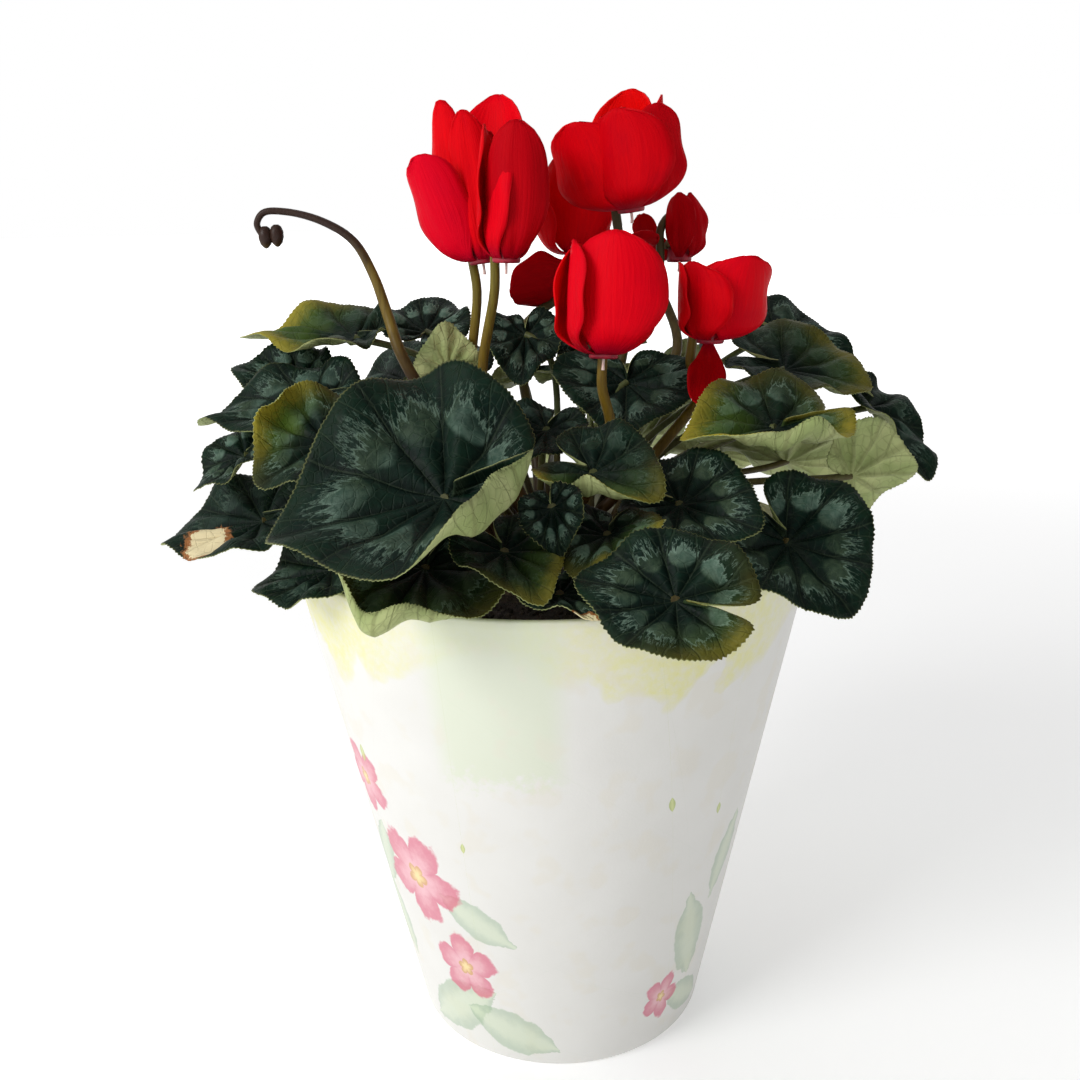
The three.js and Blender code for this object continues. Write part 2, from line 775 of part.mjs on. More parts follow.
function potGeometry() {
  const inside = (height) => potRadius(height) - POT_WALL;
  const edge = POT_WALL / 3;
  return turned(
    [
      [0, 0],
      [POT_FOOT_RADIUS - 1, 0],
      [potRadius(1.2), 1.2],
      [potRadius(POT_HEIGHT - edge), POT_HEIGHT - edge],
      [potRadius(POT_HEIGHT) - edge, POT_HEIGHT],
      [inside(POT_HEIGHT) + edge, POT_HEIGHT],
      [inside(POT_HEIGHT - edge), POT_HEIGHT - edge],
      [inside(POT_FLOOR), POT_FLOOR],
      [0, POT_FLOOR],
    ],
    POT_SIDES,
  );
}

function tuberRadius(height, extra = 0) {
  const rise = (height - TUBER_MIDDLE) / (TUBER_HALF_HEIGHT + extra);
  return (TUBER_RADIUS + extra) * Math.sqrt(Math.max(0, 1 - rise * rise));
}

function soilGeometry() {
  const outer = (height) => potRadius(height) - POT_WALL - GAP;
  const bowl = [];
  const deepest = TUBER_MIDDLE - TUBER_HALF_HEIGHT - GAP;
  const steps = 6;
  for (let i = 0; i < steps; i += 1) {
    const turn = ((SOIL_TOP - 1 - deepest) / (2 * TUBER_HALF_HEIGHT)) * Math.PI * (1 - i / steps);
    const height = deepest + (1 - Math.cos(turn)) * (TUBER_HALF_HEIGHT + GAP);
    bowl.push([tuberRadius(height, GAP), height]);
  }
  return turned(
    [
      [0, POT_FLOOR + GAP],
      [outer(POT_FLOOR + GAP), POT_FLOOR + GAP],
      [outer(SOIL_TOP - 1.5), SOIL_TOP - 1.5],
      [outer(SOIL_TOP) - 3, SOIL_TOP],
      [52, SOIL_TOP + 1.2],
      [bowl[0][0] + 0.6, SOIL_TOP],
      ...bowl,
      [0, deepest],
    ],
    TUBER_SIDES,
  );
}

function tuberGeometry(feet) {
  const profile = [[0, TUBER_MIDDLE - TUBER_HALF_HEIGHT]];
  const steps = 8;
  for (let i = 1; i < steps; i += 1) {
    const height = TUBER_MIDDLE - TUBER_HALF_HEIGHT * Math.cos((i * Math.PI) / steps);
    profile.push([tuberRadius(height), height]);
  }
  profile.push([0, TUBER_MIDDLE + TUBER_HALF_HEIGHT]);
  let solid = solidOf(turned(profile, TUBER_SIDES));
  for (const { foot, radius } of feet) {
    const depth = 30;
    const hole = new THREE.CylinderGeometry(radius + 0.45, radius + 0.45, depth, STEM_SIDES);
    hole.rotateX(Math.PI / 2).translate(foot.x, foot.y, foot.z - GAP + depth / 2);
    solid = solid.subtract(solidOf(hole));
  }
  return geometryFrom(solid);
}

// The plant, put together

const plant = new THREE.Group();

function put(name, geometry, finish) {
  const mesh = new THREE.Mesh(geometry, finish);
  mesh.name = name;
  plant.add(mesh);
}

const twoDigits = (number) => String(number).padStart(2, "0");

const leaves = [...LEAVES, ...backLeaves()];
const feetOfLeaves = leafFeet(leaves);
const stalkBearings = FLOWERS.map((flower) => bearingOf(flower.at));
stalkBearings.push(bearingOf(SPENT_STALK.at(-1)));
const feetOfFlowers = feetOnRing(stalkBearings, FLOWER_RING_RADIUS, FLOWER_RING_TURN);
const feet = [
  ...feetOfLeaves.map((foot) => ({ foot, radius: LEAF_STALK_RADIUS })),
  ...feetOfFlowers.map((foot) => ({ foot, radius: FLOWER_STALK_RADIUS })),
];

put("pot", potGeometry(), FINISH.pot);
put("soil", soilGeometry(), FINISH.soil);
put("tuber", tuberGeometry(feet), FINISH.tuber);
leaves.forEach((leaf, i) => {
  put(`leaf_${twoDigits(i + 1)}`, leafGeometry(leaf, feetOfLeaves[i]), FINISH.leaf);
});
FLOWERS.forEach((flower, i) => {
  put(`flower_${i + 1}_petals`, corollaGeometry(flower), FINISH.petal);
  put(`flower_${i + 1}_stalk`, flowerStalkGeometry(flower, feetOfFlowers[i]), FINISH.stalk);
});
put("spent_stalk", spentStalkGeometry(feetOfFlowers.at(-1)), FINISH.spent);

export default plant;
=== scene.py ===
# %% [markdown]
# # A potted cyclamen
# The solids of the plant come packed in one frame: a tapered pot, potting soil, a tuber,
# 41 leaves, seven flowers with their stalks and one spent stalk. This lesson dresses them.
# Leaves and petals are thin living sheets, so each is rebuilt here from the same simple
# formula as its solid, only with far more points: enough for teeth, sunken veins and waves.
# Everything is in metres, +Z is up, and the front of the plant faces -Y.

import math

import bpy
import numpy as np
from mathutils import Matrix, Vector


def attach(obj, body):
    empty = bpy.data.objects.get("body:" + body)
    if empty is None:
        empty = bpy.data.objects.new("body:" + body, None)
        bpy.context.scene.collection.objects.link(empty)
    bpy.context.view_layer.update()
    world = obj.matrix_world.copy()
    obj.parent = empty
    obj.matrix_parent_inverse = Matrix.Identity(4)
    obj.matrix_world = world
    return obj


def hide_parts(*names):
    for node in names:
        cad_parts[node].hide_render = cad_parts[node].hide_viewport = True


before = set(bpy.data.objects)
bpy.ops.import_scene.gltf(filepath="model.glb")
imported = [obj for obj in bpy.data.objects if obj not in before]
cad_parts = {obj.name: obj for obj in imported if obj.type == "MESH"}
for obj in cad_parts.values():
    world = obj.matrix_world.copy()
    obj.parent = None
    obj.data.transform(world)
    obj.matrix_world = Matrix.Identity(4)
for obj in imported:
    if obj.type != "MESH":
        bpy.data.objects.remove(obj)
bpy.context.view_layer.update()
MM = 0.001

# %% [markdown]
# ## Camera, floor and light
# The camera stands where the photographer stood, a little above the leaves and tilted 16
# degrees down. Its place was found once, from the ellipse of the pot's rim and the slope of
# its sides. The light of the picture is soft and comes from the left and front, so one
# large panel stands there, a weak one hangs above, and the world fills the rest.

# %% Camera
camera_data = bpy.data.cameras.new("camera")
camera_data.lens = 38.7
camera_data.sensor_width = 36
camera = bpy.data.objects.new("camera", camera_data)
bpy.context.scene.collection.objects.link(camera)
right = Vector((0.99975, 0.00289, -0.02214)).normalized()
back = Vector((0.00889, -0.96108, 0.27614)).normalized()
above = back.cross(right).normalized()
right = above.cross(back)
turn = Matrix((right, above, back)).transposed()
camera.matrix_world = Matrix.Translation((-0.00056, -0.3505, 0.25865)) @ turn.to_4x4()
bpy.context.scene.camera = camera
print("camera at", [round(v, 3) for v in camera.matrix_world.translation])


# %% Light panels
def light_panel(name, place, aim, size, power):
    data = bpy.data.lights.new(name, "AREA")
    data.size = size
    data.energy = power
    panel = bpy.data.objects.new(name, data)
    bpy.context.scene.collection.objects.link(panel)
    panel.location = place
    panel.rotation_euler = (Vector(aim) - Vector(place)).to_track_quat("-Z", "Y").to_euler()


light_panel("key_panel", (-0.95, -0.75, 0.85), (0, 0, 0.18), 0.6, 11)
light_panel("top_panel", (0.0, 0.3, 1.3), (0, 0, 0.15), 0.9, 1.6)


def studio_world(left, right, behind):
    world = bpy.data.worlds.new("studio")
    world.use_nodes = True
    tree = world.node_tree
    direction = tree.nodes.new("ShaderNodeTexCoord").outputs["Generated"]
    parts = tree.nodes.new("ShaderNodeSeparateXYZ")
    tree.links.new(direction, parts.inputs[0])

    def level(along, **limits):
        step = tree.nodes.new("ShaderNodeMapRange")
        tree.links.new(parts.outputs[along], step.inputs["Value"])
        for key, value in limits.items():
            step.inputs[key.replace("_", " ").title()].default_value = value
        return step

    sides = level("X", from_min=-0.6, from_max=0.8, to_min=left, to_max=right)
    depth = level("Y", from_min=0.35, from_max=0.8, to_max=behind)
    tree.links.new(sides.outputs[0], depth.inputs["To Min"])
    sky = tree.nodes["Background"].inputs
    tree.links.new(depth.outputs[0], sky["Strength"])
    sky["Color"].default_value = (1, 1, 1, 1)
    return world


bpy.context.scene.world = studio_world(left=0.6, right=0.2, behind=1.0)
bpy.context.scene.view_settings.view_transform = "Standard"


# %% [markdown]
# ## A short way to write materials
# A material is a network of small steps. `Wires` adds a step and feeds its inputs in one
# call: any input may be a number, a colour or the output of another step. An output comes
# back as a `Flow`, and plain arithmetic on a flow adds the Math steps: `reach * 2 + 0.1`.

# %% Flow: the output of a step
class Flow:
    def __init__(self, wires, socket):
        self.wires, self.socket = wires, socket

    def __add__(self, other):
        return self.wires.math("ADD", self, other)

    def __sub__(self, other):
        return self.wires.math("SUBTRACT", self, other)

    def __rsub__(self, other):
        return self.wires.math("SUBTRACT", other, self)

    def __mul__(self, other):
        return self.wires.math("MULTIPLY", self, other)

    def __truediv__(self, other):
        return self.wires.math("DIVIDE", self, other)

    def __abs__(self):
        return self.wires.math("ABSOLUTE", self)


print("flows can be added, subtracted, multiplied and divided")


# %% Wires: shader networks in few words
class Wires:
    def __init__(self, name):
        self.material = bpy.data.materials.new(name)
        self.material.use_nodes = True
        self.tree = self.material.node_tree
        self.shader = self.tree.nodes["Principled BSDF"].inputs

    def feed(self, socket, value):
        if isinstance(value, Flow):
            self.tree.links.new(value.socket, socket)
        elif socket.type == "RGBA":
            socket.default_value = (*value[:3], 1)
        else:
            socket.default_value = value

    def outputs(self, kind, inputs, **settings):
        node = self.tree.nodes.new(kind)
        for key, value in settings.items():
            setattr(node, key, value)
        for key, value in inputs.items():
            self.feed(node.inputs[key], value)
        return node.outputs

    def node(self, kind, inputs, out=0, **settings):
        return Flow(self, self.outputs(kind, inputs, **settings)[out])

    def split(self, vector):
        return [Flow(self, o) for o in self.outputs("ShaderNodeSeparateXYZ", {0: vector})]

    def join(self, x, y, z):
        return self.node("ShaderNodeCombineXYZ", {0: x, 1: y, 2: z})

    def place(self):
        return self.node("ShaderNodeTexCoord", {}, "Object")

    def attribute(self, name):
        return self.node("ShaderNodeAttribute", {}, "Vector", attribute_name=name)

    def math(self, operation, *values):
        return self.node("ShaderNodeMath", dict(enumerate(values)), operation=operation)

    def ramp(self, value, low, high, start=0.0, end=1.0):
        inputs = {"Value": value, "From Min": low, "From Max": high, "To Min": start, "To Max": end}
        return self.node("ShaderNodeMapRange", inputs, interpolation_type="SMOOTHSTEP")

    def noise(self, place, scale, detail=3.0, rough=0.5):
        inputs = {"Vector": place, "Scale": scale, "Detail": detail, "Roughness": rough}
        return self.node("ShaderNodeTexNoise", inputs, "Fac")

    def mix(self, share, first, second):
        return self.node("ShaderNodeMix", {0: share, 6: first, 7: second}, 2, data_type="RGBA")

    def coats(self, colour, *coats):
        for share, coat in coats:
            colour = self.mix(share, colour, coat)
        return colour

    def bump(self, height, distance):
        inputs = {"Height": height, "Distance": distance, "Strength": 1.0}
        return self.node("ShaderNodeBump", inputs)

    def finish(self, colour, roughness, normal=None, gloss=0.5):
        self.feed(self.shader["Base Color"], colour)
        self.feed(self.shader["Roughness"], roughness)
        if normal:
            self.feed(self.shader["Normal"], normal)
        self.shader["Specular IOR Level"].default_value = gloss
        return self.material


print("material helper ready")

# %% [markdown]
# ## Small tools for sheets
# A thin sheet is a grid of points with a front and a back. `sheet_mesh` takes the grid,
# offsets it by half its thickness along its normals, and closes the rim all round.


# %% Sheets from grids
def grid_normals(grid, closed):
    down = np.gradient(grid, axis=0)
    if closed:
        along = np.roll(grid, -1, axis=1) - np.roll(grid, 1, axis=1)
    else:
        along = np.gradient(grid, axis=1)
    normals = np.cross(down, along)
    length = np.linalg.norm(normals, axis=2, keepdims=True)
    return normals / np.maximum(length, 1e-9)


def mesh_from(name, points, faces):
    mesh = bpy.data.meshes.new(name)
    mesh.from_pydata((np.reshape(points, (-1, 3)) * MM).tolist(), [], [tuple(f) for f in faces])
    mesh.shade_smooth()
    return mesh


def sheet_mesh(name, grid, thickness, closed, values):
    rows, columns = grid.shape[:2]
    normals = grid_normals(grid, closed)
    half = np.broadcast_to(thickness, (rows,))[:, None, None] / 2
    points = np.concatenate([grid + normals * half, grid - normals * half])
    shift = rows * columns
    index = np.arange(shift).reshape(rows, columns)
    across = np.roll(index, -1, axis=1) if closed else index[:, 1:]
    near = index if closed else index[:, :-1]
    quads = np.stack([near[:-1], near[1:], across[1:], across[:-1]], axis=-1).reshape(-1, 4)
    faces = [quads, quads[:, ::-1] + shift]
    if closed:
        rim = index[-1]
        faces.append(np.stack([rim, rim + shift, np.roll(rim, -1) + shift, np.roll(rim, -1)], 1))
    else:
        rim = np.concatenate([index[0, ::-1], index[1:, 0], index[-1, 1:], index[-2:0:-1, -1]])
        after = np.roll(rim, -1)
        faces.append(np.stack([rim, rim + shift, after + shift, after], 1))
    faces = list(np.concatenate(faces))
    if closed:
        faces += [index[0], index[0, ::-1] + shift]
    mesh = mesh_from(name, points, faces)
    for key, value in values.items():
        layer = mesh.attributes.new(key, "FLOAT_VECTOR", "POINT")
        both = np.concatenate([value.reshape(-1, 3)] * 2)
        if key.endswith("tone"):
            both[shift:, 0] = 0
        layer.data.foreach_set("vector", both.astype(np.float32).ravel())
    return mesh


def show(name, data, material=None):
    piece = bpy.data.objects.new(name, data)
    bpy.context.scene.collection.objects.link(piece)
    if material:
        data.materials.append(material)
    return piece


def merge(first, *others):
    bpy.ops.object.select_all(action="DESELECT")
    for piece in (first, *others):
        piece.select_set(True)
    bpy.context.view_layer.objects.active = first
    bpy.ops.object.join()
    return first


def triangles(piece):
    return sum(len(face.vertices) - 2 for face in piece.data.polygons)


print("sheet tools ready")

# %% [markdown]
# ## Stems that follow a path
# A leaf stalk or flower stalk is a round section swept along a curve, which is what the
# Geometry Nodes step Curve to Mesh does. One small tree serves every stem. It gets the path
# as a poly line whose points carry their own radius, and its Sides input sets how round it is.


# %% The stem tree
def geometry_tree(name, **inputs):
    tree = bpy.data.node_groups.new(name, "GeometryNodeTree")
    for key, kind in {"Geometry": "Geometry", **inputs, "Material": "Material"}.items():
        tree.interface.new_socket(key, in_out="INPUT", socket_type="NodeSocket" + kind)
    tree.interface.new_socket("Geometry", in_out="OUTPUT", socket_type="NodeSocketGeometry")
    return tree


def pass_on(tree, *steps):
    for giver, taker in zip(steps, steps[1:]):
        tree.links.new(giver.outputs[0], taker.inputs[0])


def stem_tree():
    tree = geometry_tree("stem_along_path", Sides="Int")
    new, link = tree.nodes.new, tree.links.new
    start, end = new("NodeGroupInput"), new("NodeGroupOutput")
    section = new("GeometryNodeCurvePrimitiveCircle")
    section.inputs["Radius"].default_value = 1.0
    sweep = new("GeometryNodeCurveToMesh")
    sweep.inputs["Fill Caps"].default_value = True
    smooth = new("GeometryNodeSetShadeSmooth")
    real, paint = new("GeometryNodeRealizeInstances"), new("GeometryNodeSetMaterial")
    link(start.outputs["Geometry"], sweep.inputs["Curve"])
    link(start.outputs["Sides"], section.inputs["Resolution"])
    link(section.outputs["Curve"], sweep.inputs["Profile Curve"])
    if "Scale" in sweep.inputs:
        radius = new("GeometryNodeInputRadius")
        link(radius.outputs[0], sweep.inputs["Scale"])
    link(start.outputs["Material"], paint.inputs["Material"])
    pass_on(tree, sweep, smooth, real, paint, end)
    return tree


STEM_TREE = stem_tree()


def set_inputs(modifier, **values):
    for item in modifier.node_group.interface.items_tree:
        if item.item_type == "SOCKET" and item.in_out == "INPUT" and item.name in values:
            modifier[item.identifier] = values[item.name]


def made_real(source, name):
    bpy.context.view_layer.update()
    seen = source.evaluated_get(bpy.context.evaluated_depsgraph_get())
    mesh = bpy.data.meshes.new_from_object(seen)
    bpy.data.objects.remove(source)
    return show(name, mesh)


def stem(name, points, radii, material, sides):
    curve = bpy.data.curves.new(name, "CURVE")
    curve.dimensions = "3D"
    line = curve.splines.new("POLY")
    line.points.add(len(points) - 1)
    for spot, point, radius in zip(line.points, points, radii):
        spot.co = (*(np.asarray(point) * MM), 1)
        spot.radius = radius * MM
    path = show(name + "_path", curve)
    modifier = path.modifiers.new("stem", "NODES")
    modifier.node_group = STEM_TREE
    set_inputs(modifier, Sides=sides, Material=material)
    return made_real(path, name)


print("stem tree:", len(STEM_TREE.nodes), "steps")

# %% [markdown]
# ## The leaf's surface
# A florist's cyclamen leaf is almost black-green. Between the main veins lie silver patches,
# smooth on the side of the stalk and torn into fingers on the side of the margin. Thin pale
# lines follow the veins, and the margin is olive and finely toothed. The underside is pale
# yellow-green. The blade carries its own coordinates: `leaf_plane` lies flat in the blade,
# `leaf_veins` holds the count of veins passed, their spacing and the reach from the stalk to
# the margin, and `leaf_tone` says which side it is and how yellow or dry the leaf has gone.


# %% Leaf material
def silver_pattern(w, count, spacing, reach, each, coarse, fine):
    share = w.math("PINGPONG", count, 0.5)
    beside_vein = w.math("POWER", 1 - share * 2, 2)
    streaks = w.noise(w.join(count * 5.5, reach * 2.2, coarse), 1.6, 4, 0.65)
    inner = coarse * 0.3 + beside_vein * 0.2 + 0.22
    beyond = streaks * 0.55 + beside_vein * -0.12 + 0.44 - reach
    patch = w.ramp(reach - inner, 0.0, 0.07) * w.ramp(fine * 0.8 + share * spacing, 0.9, 1.7)
    patch = patch * w.ramp(w.noise(each * 37.3, 1.0, 0), 0.35, 0.6, 0.25, 1.0)
    silver = patch * w.ramp(beyond, 0.0, 0.015) * w.ramp(coarse, 0.3, 0.5, 0.35, 1.0)
    fingers = w.ramp(abs(streaks - 0.5), 0.03, 0.008) * w.ramp(abs(beyond + 0.08), 0.1, 0.04)
    edge = w.ramp(abs(beyond - 0.02), 0.035, 0.01)
    return silver, w.math("MAXIMUM", patch * edge, fingers * patch * 0.8)


def leaf_material():
    w = Wires("leaf_blade")
    plane = w.attribute("leaf_plane")
    count, spacing, reach = w.split(w.attribute("leaf_veins"))
    top, yellow, dry = w.split(w.attribute("leaf_tone"))
    coarse = w.noise(plane, 0.9, 2)
    fine = w.noise(plane, 7.0, 4, 0.6)
    silver, frost = silver_pattern(w, count, spacing, reach, w.split(plane)[2], coarse, fine)
    speckle = w.ramp(fine, 0.3, 0.7)

    share = w.math("PINGPONG", count, 0.5)
    off = share * spacing
    fork = w.ramp(reach, 0.4, 1.0) * 0.3
    twig = w.ramp(abs(share - fork) * spacing, 0.35, 0.08) * w.ramp(reach, 0.42, 0.55)
    cells = {"Vector": plane, "Scale": 3.6}
    gap = w.node("ShaderNodeTexVoronoi", cells, "Distance", feature="DISTANCE_TO_EDGE")
    net = w.ramp(gap, 0.09, 0.0)

    dull = w.mix(speckle, (0.028, 0.055, 0.032), (0.07, 0.11, 0.062))
    bright = w.mix(speckle, (0.075, 0.15, 0.11), (0.17, 0.26, 0.20))
    olive = w.mix(w.ramp(fine * 0.3 + reach, 0.8, 1.15), (0.11, 0.19, 0.02), (0.62, 0.52, 0.05))
    face = w.coats(
        w.mix(w.ramp(coarse, 0.3, 0.7), (0.0018, 0.012, 0.0078), (0.0045, 0.020, 0.010)),
        (w.ramp(reach, 0.8, 1.0, 0.0, 0.5), (0.010, 0.026, 0.009)),
        (w.ramp(fine, 0.35, 0.75, 0.0, 0.45), (0.005, 0.034, 0.020)),
        # Painted shade: the green turns near black within about three millimetres of a main vein,
        # in its groove
        (w.ramp(fine * 1.2 + off, 3.2, 0.9, 0.0, 0.65), (0.001, 0.005, 0.0035)),
        (silver, w.mix(w.ramp(w.noise(plane, 0.5, 1), 0.4, 0.6), dull, bright)),
        (frost * 0.8, (0.2, 0.3, 0.23)),
        (net * 0.07, (0.10, 0.14, 0.08)),
        (twig * 0.22, (0.07, 0.11, 0.06)),
        (w.ramp(off, 0.4, 0.1) * 0.3, (0.06, 0.09, 0.05)),
        (w.ramp(fine * 0.012 + reach, 0.992, 1.004) * 0.7, (0.2, 0.21, 0.08)),
        (yellow * w.ramp(coarse * 0.9 + reach, 0.6, 1.2), olive),
        (0.32, (0, 0, 0)),
    )
    under = w.coats(
        w.mix(w.ramp(coarse, 0.3, 0.7), (0.28, 0.34, 0.13), (0.42, 0.46, 0.21)),
        (w.math("MAXIMUM", w.ramp(off, 1.1, 0.3), twig * 0.7) * 0.45, (0.17, 0.18, 0.07)),
        (net * 0.25, (0.2, 0.22, 0.09)),
    )
    withered = dry + (fine - 0.5) * 0.5
    colour = w.coats(
        under,
        (w.ramp(top, 0.3, 0.7), face),
        (w.ramp(withered, 0.38, 0.46), (0.3, 0.12, 0.04)),
        (w.ramp(withered, 0.5, 0.56), (0.72, 0.62, 0.38)),
    )
    height = net * -0.3 + fine * 0.5 - twig * 0.6
    return w.finish(colour, w.ramp(fine, 0.2, 0.8, 0.45, 0.6), w.bump(height, 0.00035), gloss=0.1)


LEAF = leaf_material()
print("leaf material:", len(LEAF.node_tree.nodes), "steps")


# %% [markdown]
# ## Stalks, tuber and soil
# Flower stalks are smooth and waxy, ochre to reddish brown, darker towards the foot. Leaf
# stalks are the same but greener. The spent stalk runs from dark brown at its hook through
# olive to orange-brown and back to dark brown at its foot. The tuber is corky.


# %% Stalk, tuber and soil materials
def stalk_material(name, low, middle, high, lower_change, upper_change):
    w = Wires(name)
    place = w.place()
    grain = w.node("ShaderNodeMapping", {"Vector": place, "Scale": (900, 900, 60)})
    streak = w.noise(grain, 1.0, 4, 0.6)
    wander = w.noise(place, 160.0, 2) * 0.012 + w.split(place)[2]
    colour = w.coats(
        w.mix(w.ramp(wander, *lower_change), low, middle),
        (w.ramp(wander, *upper_change), high),
        (w.ramp(streak, 0.35, 0.75, 0.0, 0.5), (0.035, 0.018, 0.007)),
    )
    roughness = w.ramp(streak, 0.2, 0.8, 0.34, 0.52)
    return w.finish(colour, roughness, w.bump(streak, 0.00012), gloss=0.2)


# Colours low, in the middle and high, and the heights in metres between which they change
FLOWER_STALK = stalk_material(
    "flower_stalk", (0.06, 0.027, 0.006), (0.17, 0.105, 0.009), (0.16, 0.13, 0.014),
    (0.175, 0.205), (0.215, 0.25),
)
# Painted shade: a darker, duller copy of the flower stalk, used for the stalks of flowers 3, 4 and
# 7
SHADED_STALK = stalk_material(
    "shaded_flower_stalk", (0.05, 0.03, 0.015), (0.085, 0.065, 0.02), (0.06, 0.055, 0.02),
    (0.175, 0.205), (0.215, 0.25),
)
LEAF_STALK = stalk_material(
    "leaf_stalk", (0.07, 0.03, 0.016), (0.075, 0.062, 0.018), (0.08, 0.10, 0.035),
    (0.16, 0.18), (0.18, 0.205),
)
SPENT_STALK = stalk_material(
    "spent_stalk", (0.035, 0.015, 0.008), (0.17, 0.115, 0.02), (0.03, 0.014, 0.01),
    (0.214, 0.234), (0.247, 0.258),
)


def earth_material(name, dark, pale, scale, depth):
    w = Wires(name)
    lumps = w.noise(w.place(), scale, 6, 0.65)
    flecks = w.noise(w.place(), scale * 5, 3, 0.5)
    colour = w.mix(w.ramp(lumps, 0.35, 0.7), dark, pale)
    colour = w.mix(w.ramp(flecks, 0.66, 0.72, 0.0, 0.6), colour, (0.16, 0.11, 0.065))
    return w.finish(colour, 0.9, w.bump(lumps, depth))


SOIL = earth_material("potting_soil", (0.012, 0.008, 0.006), (0.05, 0.033, 0.022), 300, 0.002)
TUBER = earth_material("corky_tuber", (0.035, 0.022, 0.015), (0.12, 0.08, 0.05), 180, 0.0015)
for node, material in (("soil", SOIL), ("tuber", TUBER)):
    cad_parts[node].data.materials.clear()
    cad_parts[node].data.materials.append(material)
print("stalk, tuber and soil materials ready")

# %% [markdown]
# ## Where the leaves are
# The table gives each leaf of the front and sides, in millimetres: `at` is the joint of stalk
# and blade, `tip` the blade's point, `face` where its upper side looks, then half its width
# and the reach of its rear lobes. The back of the plant follows a rule instead, with small
# seeded differences. Stalks end where the solids have their feet.

# %% Leaf table
def leaf(at, tip, face, wide, back, **form):
    return dict(at=at, tip=tip, face=face, wide=wide, back=back, **form)


LEAVES = [
    leaf((-61, -46, 164), (-84, -42, 158), (-0.4, -0.4, 0.85), 16, 14),
    leaf((1.5, -80, 167), (15, -93, 166), (0.3, -0.5, 0.8), 11, 9),
    leaf((-12, -76, 177), (-2, -93, 170), (0.3, -0.7, 0.65), 14, 10, rise=0.6, wave=0.05),
    leaf(
        (-33, -66, 170), (-45, -104, 160), (0.05, -0.65, 0.65), 24, 14, rise=0.25,
        curl=(0, 45, 140, 0.7),
    ),
    leaf((28, -98, 171), (5, -92, 175), (0.1, -0.7, 0.7), 17, 17),
    leaf((63, -52, 171), (78, -66, 155), (0.3, -0.65, 0.7), 25, 16, wave=0.05),
    leaf((14, -66, 178), (6, -86, 174), (-0.2, -0.5, 0.8), 15, 10, rise=0.55, wave=0.05),
    leaf((0, -72, 187), (2, -81, 177), (-0.2, -0.9, 0.3), 8.5, 5),
    leaf((34, -52, 182), (53, -67, 179), (-0.1, -0.5, 0.85), 18, 13, wave=0.05),
    leaf((-83, -30, 174), (-116, -18, 166), (-0.2, -0.45, 0.85), 18, 15, rise=0.55),
    leaf(
        (-27, -68, 189), (-71, -74, 181), (0.1, -0.5, 0.85), 36, 24, fold=0.3,
        curl=(130, 42, 140, 0.5),
    ),
    leaf((-88, -24, 192), (-102, -28, 183), (-0.6, -0.4, 0.7), 14, 9),
    leaf(
        (-61, -42, 199), (-77, -54, 189.5), (-0.3, -0.6, 0.75), 20, 13, wave=0.05,
        curl=(-80, 40, 140, 0.6),
    ),
    leaf((11, -56, 192), (28, -68, 188), (-0.1, -0.5, 0.85), 16, 13, curl=(-70, 45, 140, 0.6)),
    leaf((63, -30, 198), (36, -43, 196.5), (0, -0.45, 0.89), 20, 19, curl=(70, 45, 140, 0.6)),
    leaf((89, -14, 180), (110, -8, 179), (-0.3, 0.85, 0.35), 18, 8),
    leaf((104, 23, 194), (118, 1, 175), (0.6, -0.3, 0.75), 18, 12),
    leaf((-70, -15, 205), (-104, -11, 200), (-0.15, -0.35, 0.93), 18, 14),
    leaf((-77, 6, 208), (-98, 10, 213), (-0.3, -0.5, 0.8), 14, 9),
    leaf((-60, 12, 221), (-96, 16, 222), (-0.1, -0.25, 0.96), 18, 10, rise=0.7),
    leaf((-1, -32, 199), (-9, -44, 192), (-0.2, -0.6, 0.8), 13, 8),
    leaf((24, 7, 206), (22, -13, 193), (0, -0.6, 0.8), 23, 10, wave=0.05),
    leaf((61, 3, 198), (62, -14, 193), (0, -0.4, 0.9), 15, 10, wave=0.05),
    leaf((-7, 19, 220), (-8, 1, 207), (-0.1, -0.6, 0.8), 12.5, 8),
    leaf((14, 30, 218), (8, 12, 206), (0, -0.6, 0.8), 12, 8, rise=0.48),
    leaf((-31, 4, 211), (-31, 12, 225), (0, 0.85, 0.5), 11, 4),
    leaf((-40, 35, 220), (-34, 51, 229), (0, -0.4, 0.9), 15, 10),
    leaf((74, 14, 208), (100, 8, 203), (0.1, -0.35, 0.93), 23, 17, wave=0.05),
    leaf((78, 50, 215), (104, 46, 207), (0.15, -0.3, 0.94), 19, 20),
]
print("leaves by hand:", len(LEAVES))

# %% [markdown]
# The back leaves come from a small random rule: a plain number generator is stepped in a
# fixed order, so every run draws the same leaves.

# %% Leaves at the back
def random_from(seed):
    state = seed
    while True:
        state = (state * 1664525 + 1013904223) % 4294967296
        yield state / 4294967296


# Of each tier: how many leaves, first and last bearing, how far out and how high the joints
# are, how far the tips reach on and drop, and half the width
BACK_TIERS = (
    (7, 22, 158, 84, 175, 32, 14, 24),
    (5, 52, 146, 58, 204, 30, 6, 19),
)


def back_leaves():
    numbers = random_from(7)

    def vary(amount):
        return amount * (2 * next(numbers) - 1)

    grown = []
    for count, first, last, away, height, tip_away, tip_drop, size in BACK_TIERS:
        for i in range(count):
            bearing = math.radians(first + (last - first) * i / (count - 1) + vary(4))
            out = (math.cos(bearing), math.sin(bearing))
            turn = bearing + math.radians(vary(20))
            at = (out[0] * away, out[1] * away, height + vary(3))
            reach = tip_away + vary(4)
            x, y = at[0] + math.cos(turn) * reach, at[1] + math.sin(turn) * reach
            tip = (x, y, at[2] - tip_drop + vary(3))
            wide = size + vary(2)
            face = (out[0] * 0.3 - out[1] * 0.4, out[1] * 0.3 + out[0] * 0.4, 0.85)
            grown.append(leaf(at, tip, face, wide, 0.6 * wide))
    return grown


LEAVES += back_leaves()
print("leaves in all:", len(LEAVES))

